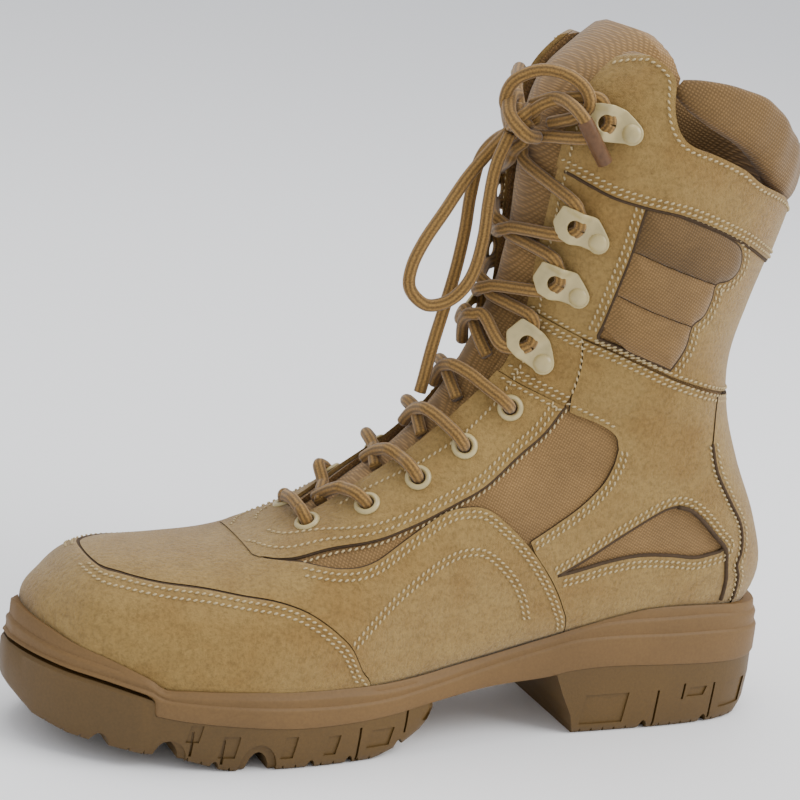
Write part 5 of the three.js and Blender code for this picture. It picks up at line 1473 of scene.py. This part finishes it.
class BOOT_OT_bow(bpy.types.Operator):
    """The knot, its two loops, its two ends and the tube on one end"""
    bl_idname = "boot.bow"
    bl_label = "Bow"

    def execute(self, context):
        radius = sizes()["lace"] / 2
        centre = bow_point(KNOT)
        turn = np.linspace(-0.3, 2 * math.pi + 0.6, 22)
        lean = Vector((0.45, -0.35, 0.8)).normalized()
        one = np.array(lean.cross(Vector((0, 1, 0))).normalized())
        two = np.cross(np.array(lean), one)
        rise = np.linspace(-2.6, 2.6, len(turn))
        ring = 4.6 * (np.cos(turn)[:, None] * one + np.sin(turn)[:, None] * two)
        wrap = centre + ring + rise[:, None] * np.array(lean)
        cover = [bow_point(p) for p in ((0.418, 0.02, 1.150), (0.436, 0.08, 1.152), (0.447, 0.16, 1.125),
                                        (0.434, 0.215, 1.098), (0.412, 0.18, 1.090))]
        core = [centre + [0, -5, 3], centre + [1, 0, 0], centre + [0, 5, -3]]
        knot = joined("knot_wraps", [tube("wrap", wrap, radius, finish_of("lace"))[0],
                                     tube("cover", cover, radius * 1.1, finish_of("lace"))[0],
                                     tube("core", core, radius * 1.4, finish_of("lace"))[0]])
        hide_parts("lace_knot")
        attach(knot, "root")
        for name, rows in BOW.items():
            line = [bow_point(p) for p in rows]
            cord, path = tube(name.replace("lace_", "bow_"), line, radius, finish_of("lace"), spacing=1.0)
            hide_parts(name)
            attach(cord, "root")
            with_pieces = []
            if name == "lace_end_short":
                with_pieces = [lace_tip(line)]
        return {"FINISHED"}


def lace_tip(line):
    """A tube pressed on a lace end, open at its far end, with painted shade on its inside there."""
    along = (line[-1] - line[-2]) / np.linalg.norm(line[-1] - line[-2])
    axis = Vector(along)
    place = axis.to_track_quat("Z", "Y").to_matrix().to_4x4()
    place.translation = Vector(line[-1] - along * 3)
    profile = [(0, 0.3), (2.6, 0.3), (2.95, 0.0), (3.05, 2.0), (3.05, 18.2), (2.8, 18.6), (2.4, 18.6),
               (2.3, 18.2),
               (2.3, 12.0), (0, 12.0)]
    bm = bmesh.new()
    verts = [bm.verts.new((x, 0, z)) for x, z in profile]
    edges = [bm.edges.new((a, b)) for a, b in zip(verts[:-1], verts[1:])]
    bmesh.ops.spin(bm, geom=verts + edges, cent=(0, 0, 0), axis=(0, 0, 1), angle=2 * math.pi, steps=28,
                   use_merge=True)
    bmesh.ops.remove_doubles(bm, verts=bm.verts, dist=1e-4)
    bmesh.ops.recalc_face_normals(bm, faces=bm.faces)
    # Faces inside the open end take the second, near-black material: painted shade in the hollow.
    for face in bm.faces:
        middle = face.calc_center_median()
        face.material_index = int(math.hypot(middle.x, middle.y) < 2.45 and middle.z > 11)
    for v in bm.verts:
        v.co = to_frame(place @ v.co)
    tip = add_object("lace_tube_tip", bm, finish_of("aglet"))
    tip.data.materials.append(finish_of("dark"))
    tip.data.set_sharp_from_angle(angle=math.radians(40))
    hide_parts("aglet_short")
    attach(tip, "root")
    return tip


# Stage
CAMERA = {"azimuth": 24.0, "elevation": 15.0, "roll": 5.98, "lens": 114.53, "distance": 1.0}
TARGET = (0.008274, -0.000972, 0.13047)


class BOOT_OT_stage(bpy.types.Operator):
    """Pale floor, soft lights and the camera at the photo's angle"""
    bl_idname = "boot.stage"
    bl_label = "Stage"

    def execute(self, context):
        bm = bmesh.new()
        bmesh.ops.create_grid(bm, x_segments=1, y_segments=1, size=6)
        floor_mat, _, _ = new_material("floor", (0.95, 0.95, 0.95), 0.9, Specular_IOR_Level=0.1)
        floor = add_object("floor", bm, floor_mat)
        world = bpy.data.worlds.new("studio")
        world.use_nodes = True
        world.node_tree.nodes["Background"].inputs["Color"].default_value = (0.93, 0.95, 1.0, 1)
        world.node_tree.nodes["Background"].inputs["Strength"].default_value = 0.95
        context.scene.world = world
        middle = Vector(TARGET)
        for name, at, size, power in (("key", (-1.2, 0.9, 1.4), 1.2, 33), ("fill", (1.2, 1.2, 0.8), 1.4, 2),
                                      ("top", (0.0, -0.3, 1.7), 1.2, 12)):
            light = bpy.data.lights.new(name, "AREA")
            light.size, light.energy = size, power
            lamp = bpy.data.objects.new(name, light)
            lamp.location = at
            lamp.rotation_euler = (middle - Vector(at)).to_track_quat("-Z", "Y").to_euler()
            context.scene.collection.objects.link(lamp)
        a, e, r = (math.radians(CAMERA[k]) for k in ("azimuth", "elevation", "roll"))
        back = Vector((math.sin(a) * math.cos(e), math.cos(a) * math.cos(e), math.sin(e)))
        right = (-back).cross(Vector((0, 0, 1))).normalized()
        up = right.cross(-back)
        x, y = right * math.cos(r) + up * math.sin(r), up * math.cos(r) - right * math.sin(r)
        camera = bpy.data.objects.new("camera", bpy.data.cameras.new("camera"))
        camera.data.lens = CAMERA["lens"]
        camera.data.sensor_width = 36
        camera.data.clip_start = 0.01
        matrix = Matrix((x, y, back)).transposed().to_4x4()
        matrix.translation = middle + back * CAMERA["distance"]
        camera.matrix_world = matrix
        context.scene.collection.objects.link(camera)
        context.scene.camera = camera
        return {"FINISHED"}


OPERATORS = (BOOT_OT_stage, BOOT_OT_bow, BOOT_OT_lacing, BOOT_OT_sole, BOOT_OT_upper, BOOT_OT_tongue,
             BOOT_OT_panels, BOOT_OT_padding, BOOT_OT_piping, BOOT_OT_seams, BOOT_OT_metal)


class BOOT_PT_panel(bpy.types.Panel):
    """The boot's pieces, sizes and colours"""
    bl_idname = "BOOT_PT_panel"
    bl_label = "Desert combat boot"
    bl_space_type = "VIEW_3D"
    bl_region_type = "UI"
    bl_category = "Boot"

    def draw(self, context):
        for group in (context.scene.boot_sizes, context.scene.boot_looks):
            for name in group.__annotations__:
                self.layout.prop(group, name)
        for operator in OPERATORS:
            self.layout.operator(operator.bl_idname)


CLASSES = (BootSizes, BootLooks, *OPERATORS, BOOT_PT_panel)


def register():
    for cls in CLASSES:
        bpy.utils.register_class(cls)
    bpy.types.Scene.boot_sizes = PointerProperty(type=BootSizes)
    bpy.types.Scene.boot_looks = PointerProperty(type=BootLooks)


def unregister():
    del bpy.types.Scene.boot_looks
    del bpy.types.Scene.boot_sizes
    for cls in reversed(CLASSES):
        bpy.utils.unregister_class(cls)


def main():
    register()
    for operator in OPERATORS:
        getattr(bpy.ops.boot, operator.bl_idname.split(".")[1])()


if __name__ == "__main__":
    main()
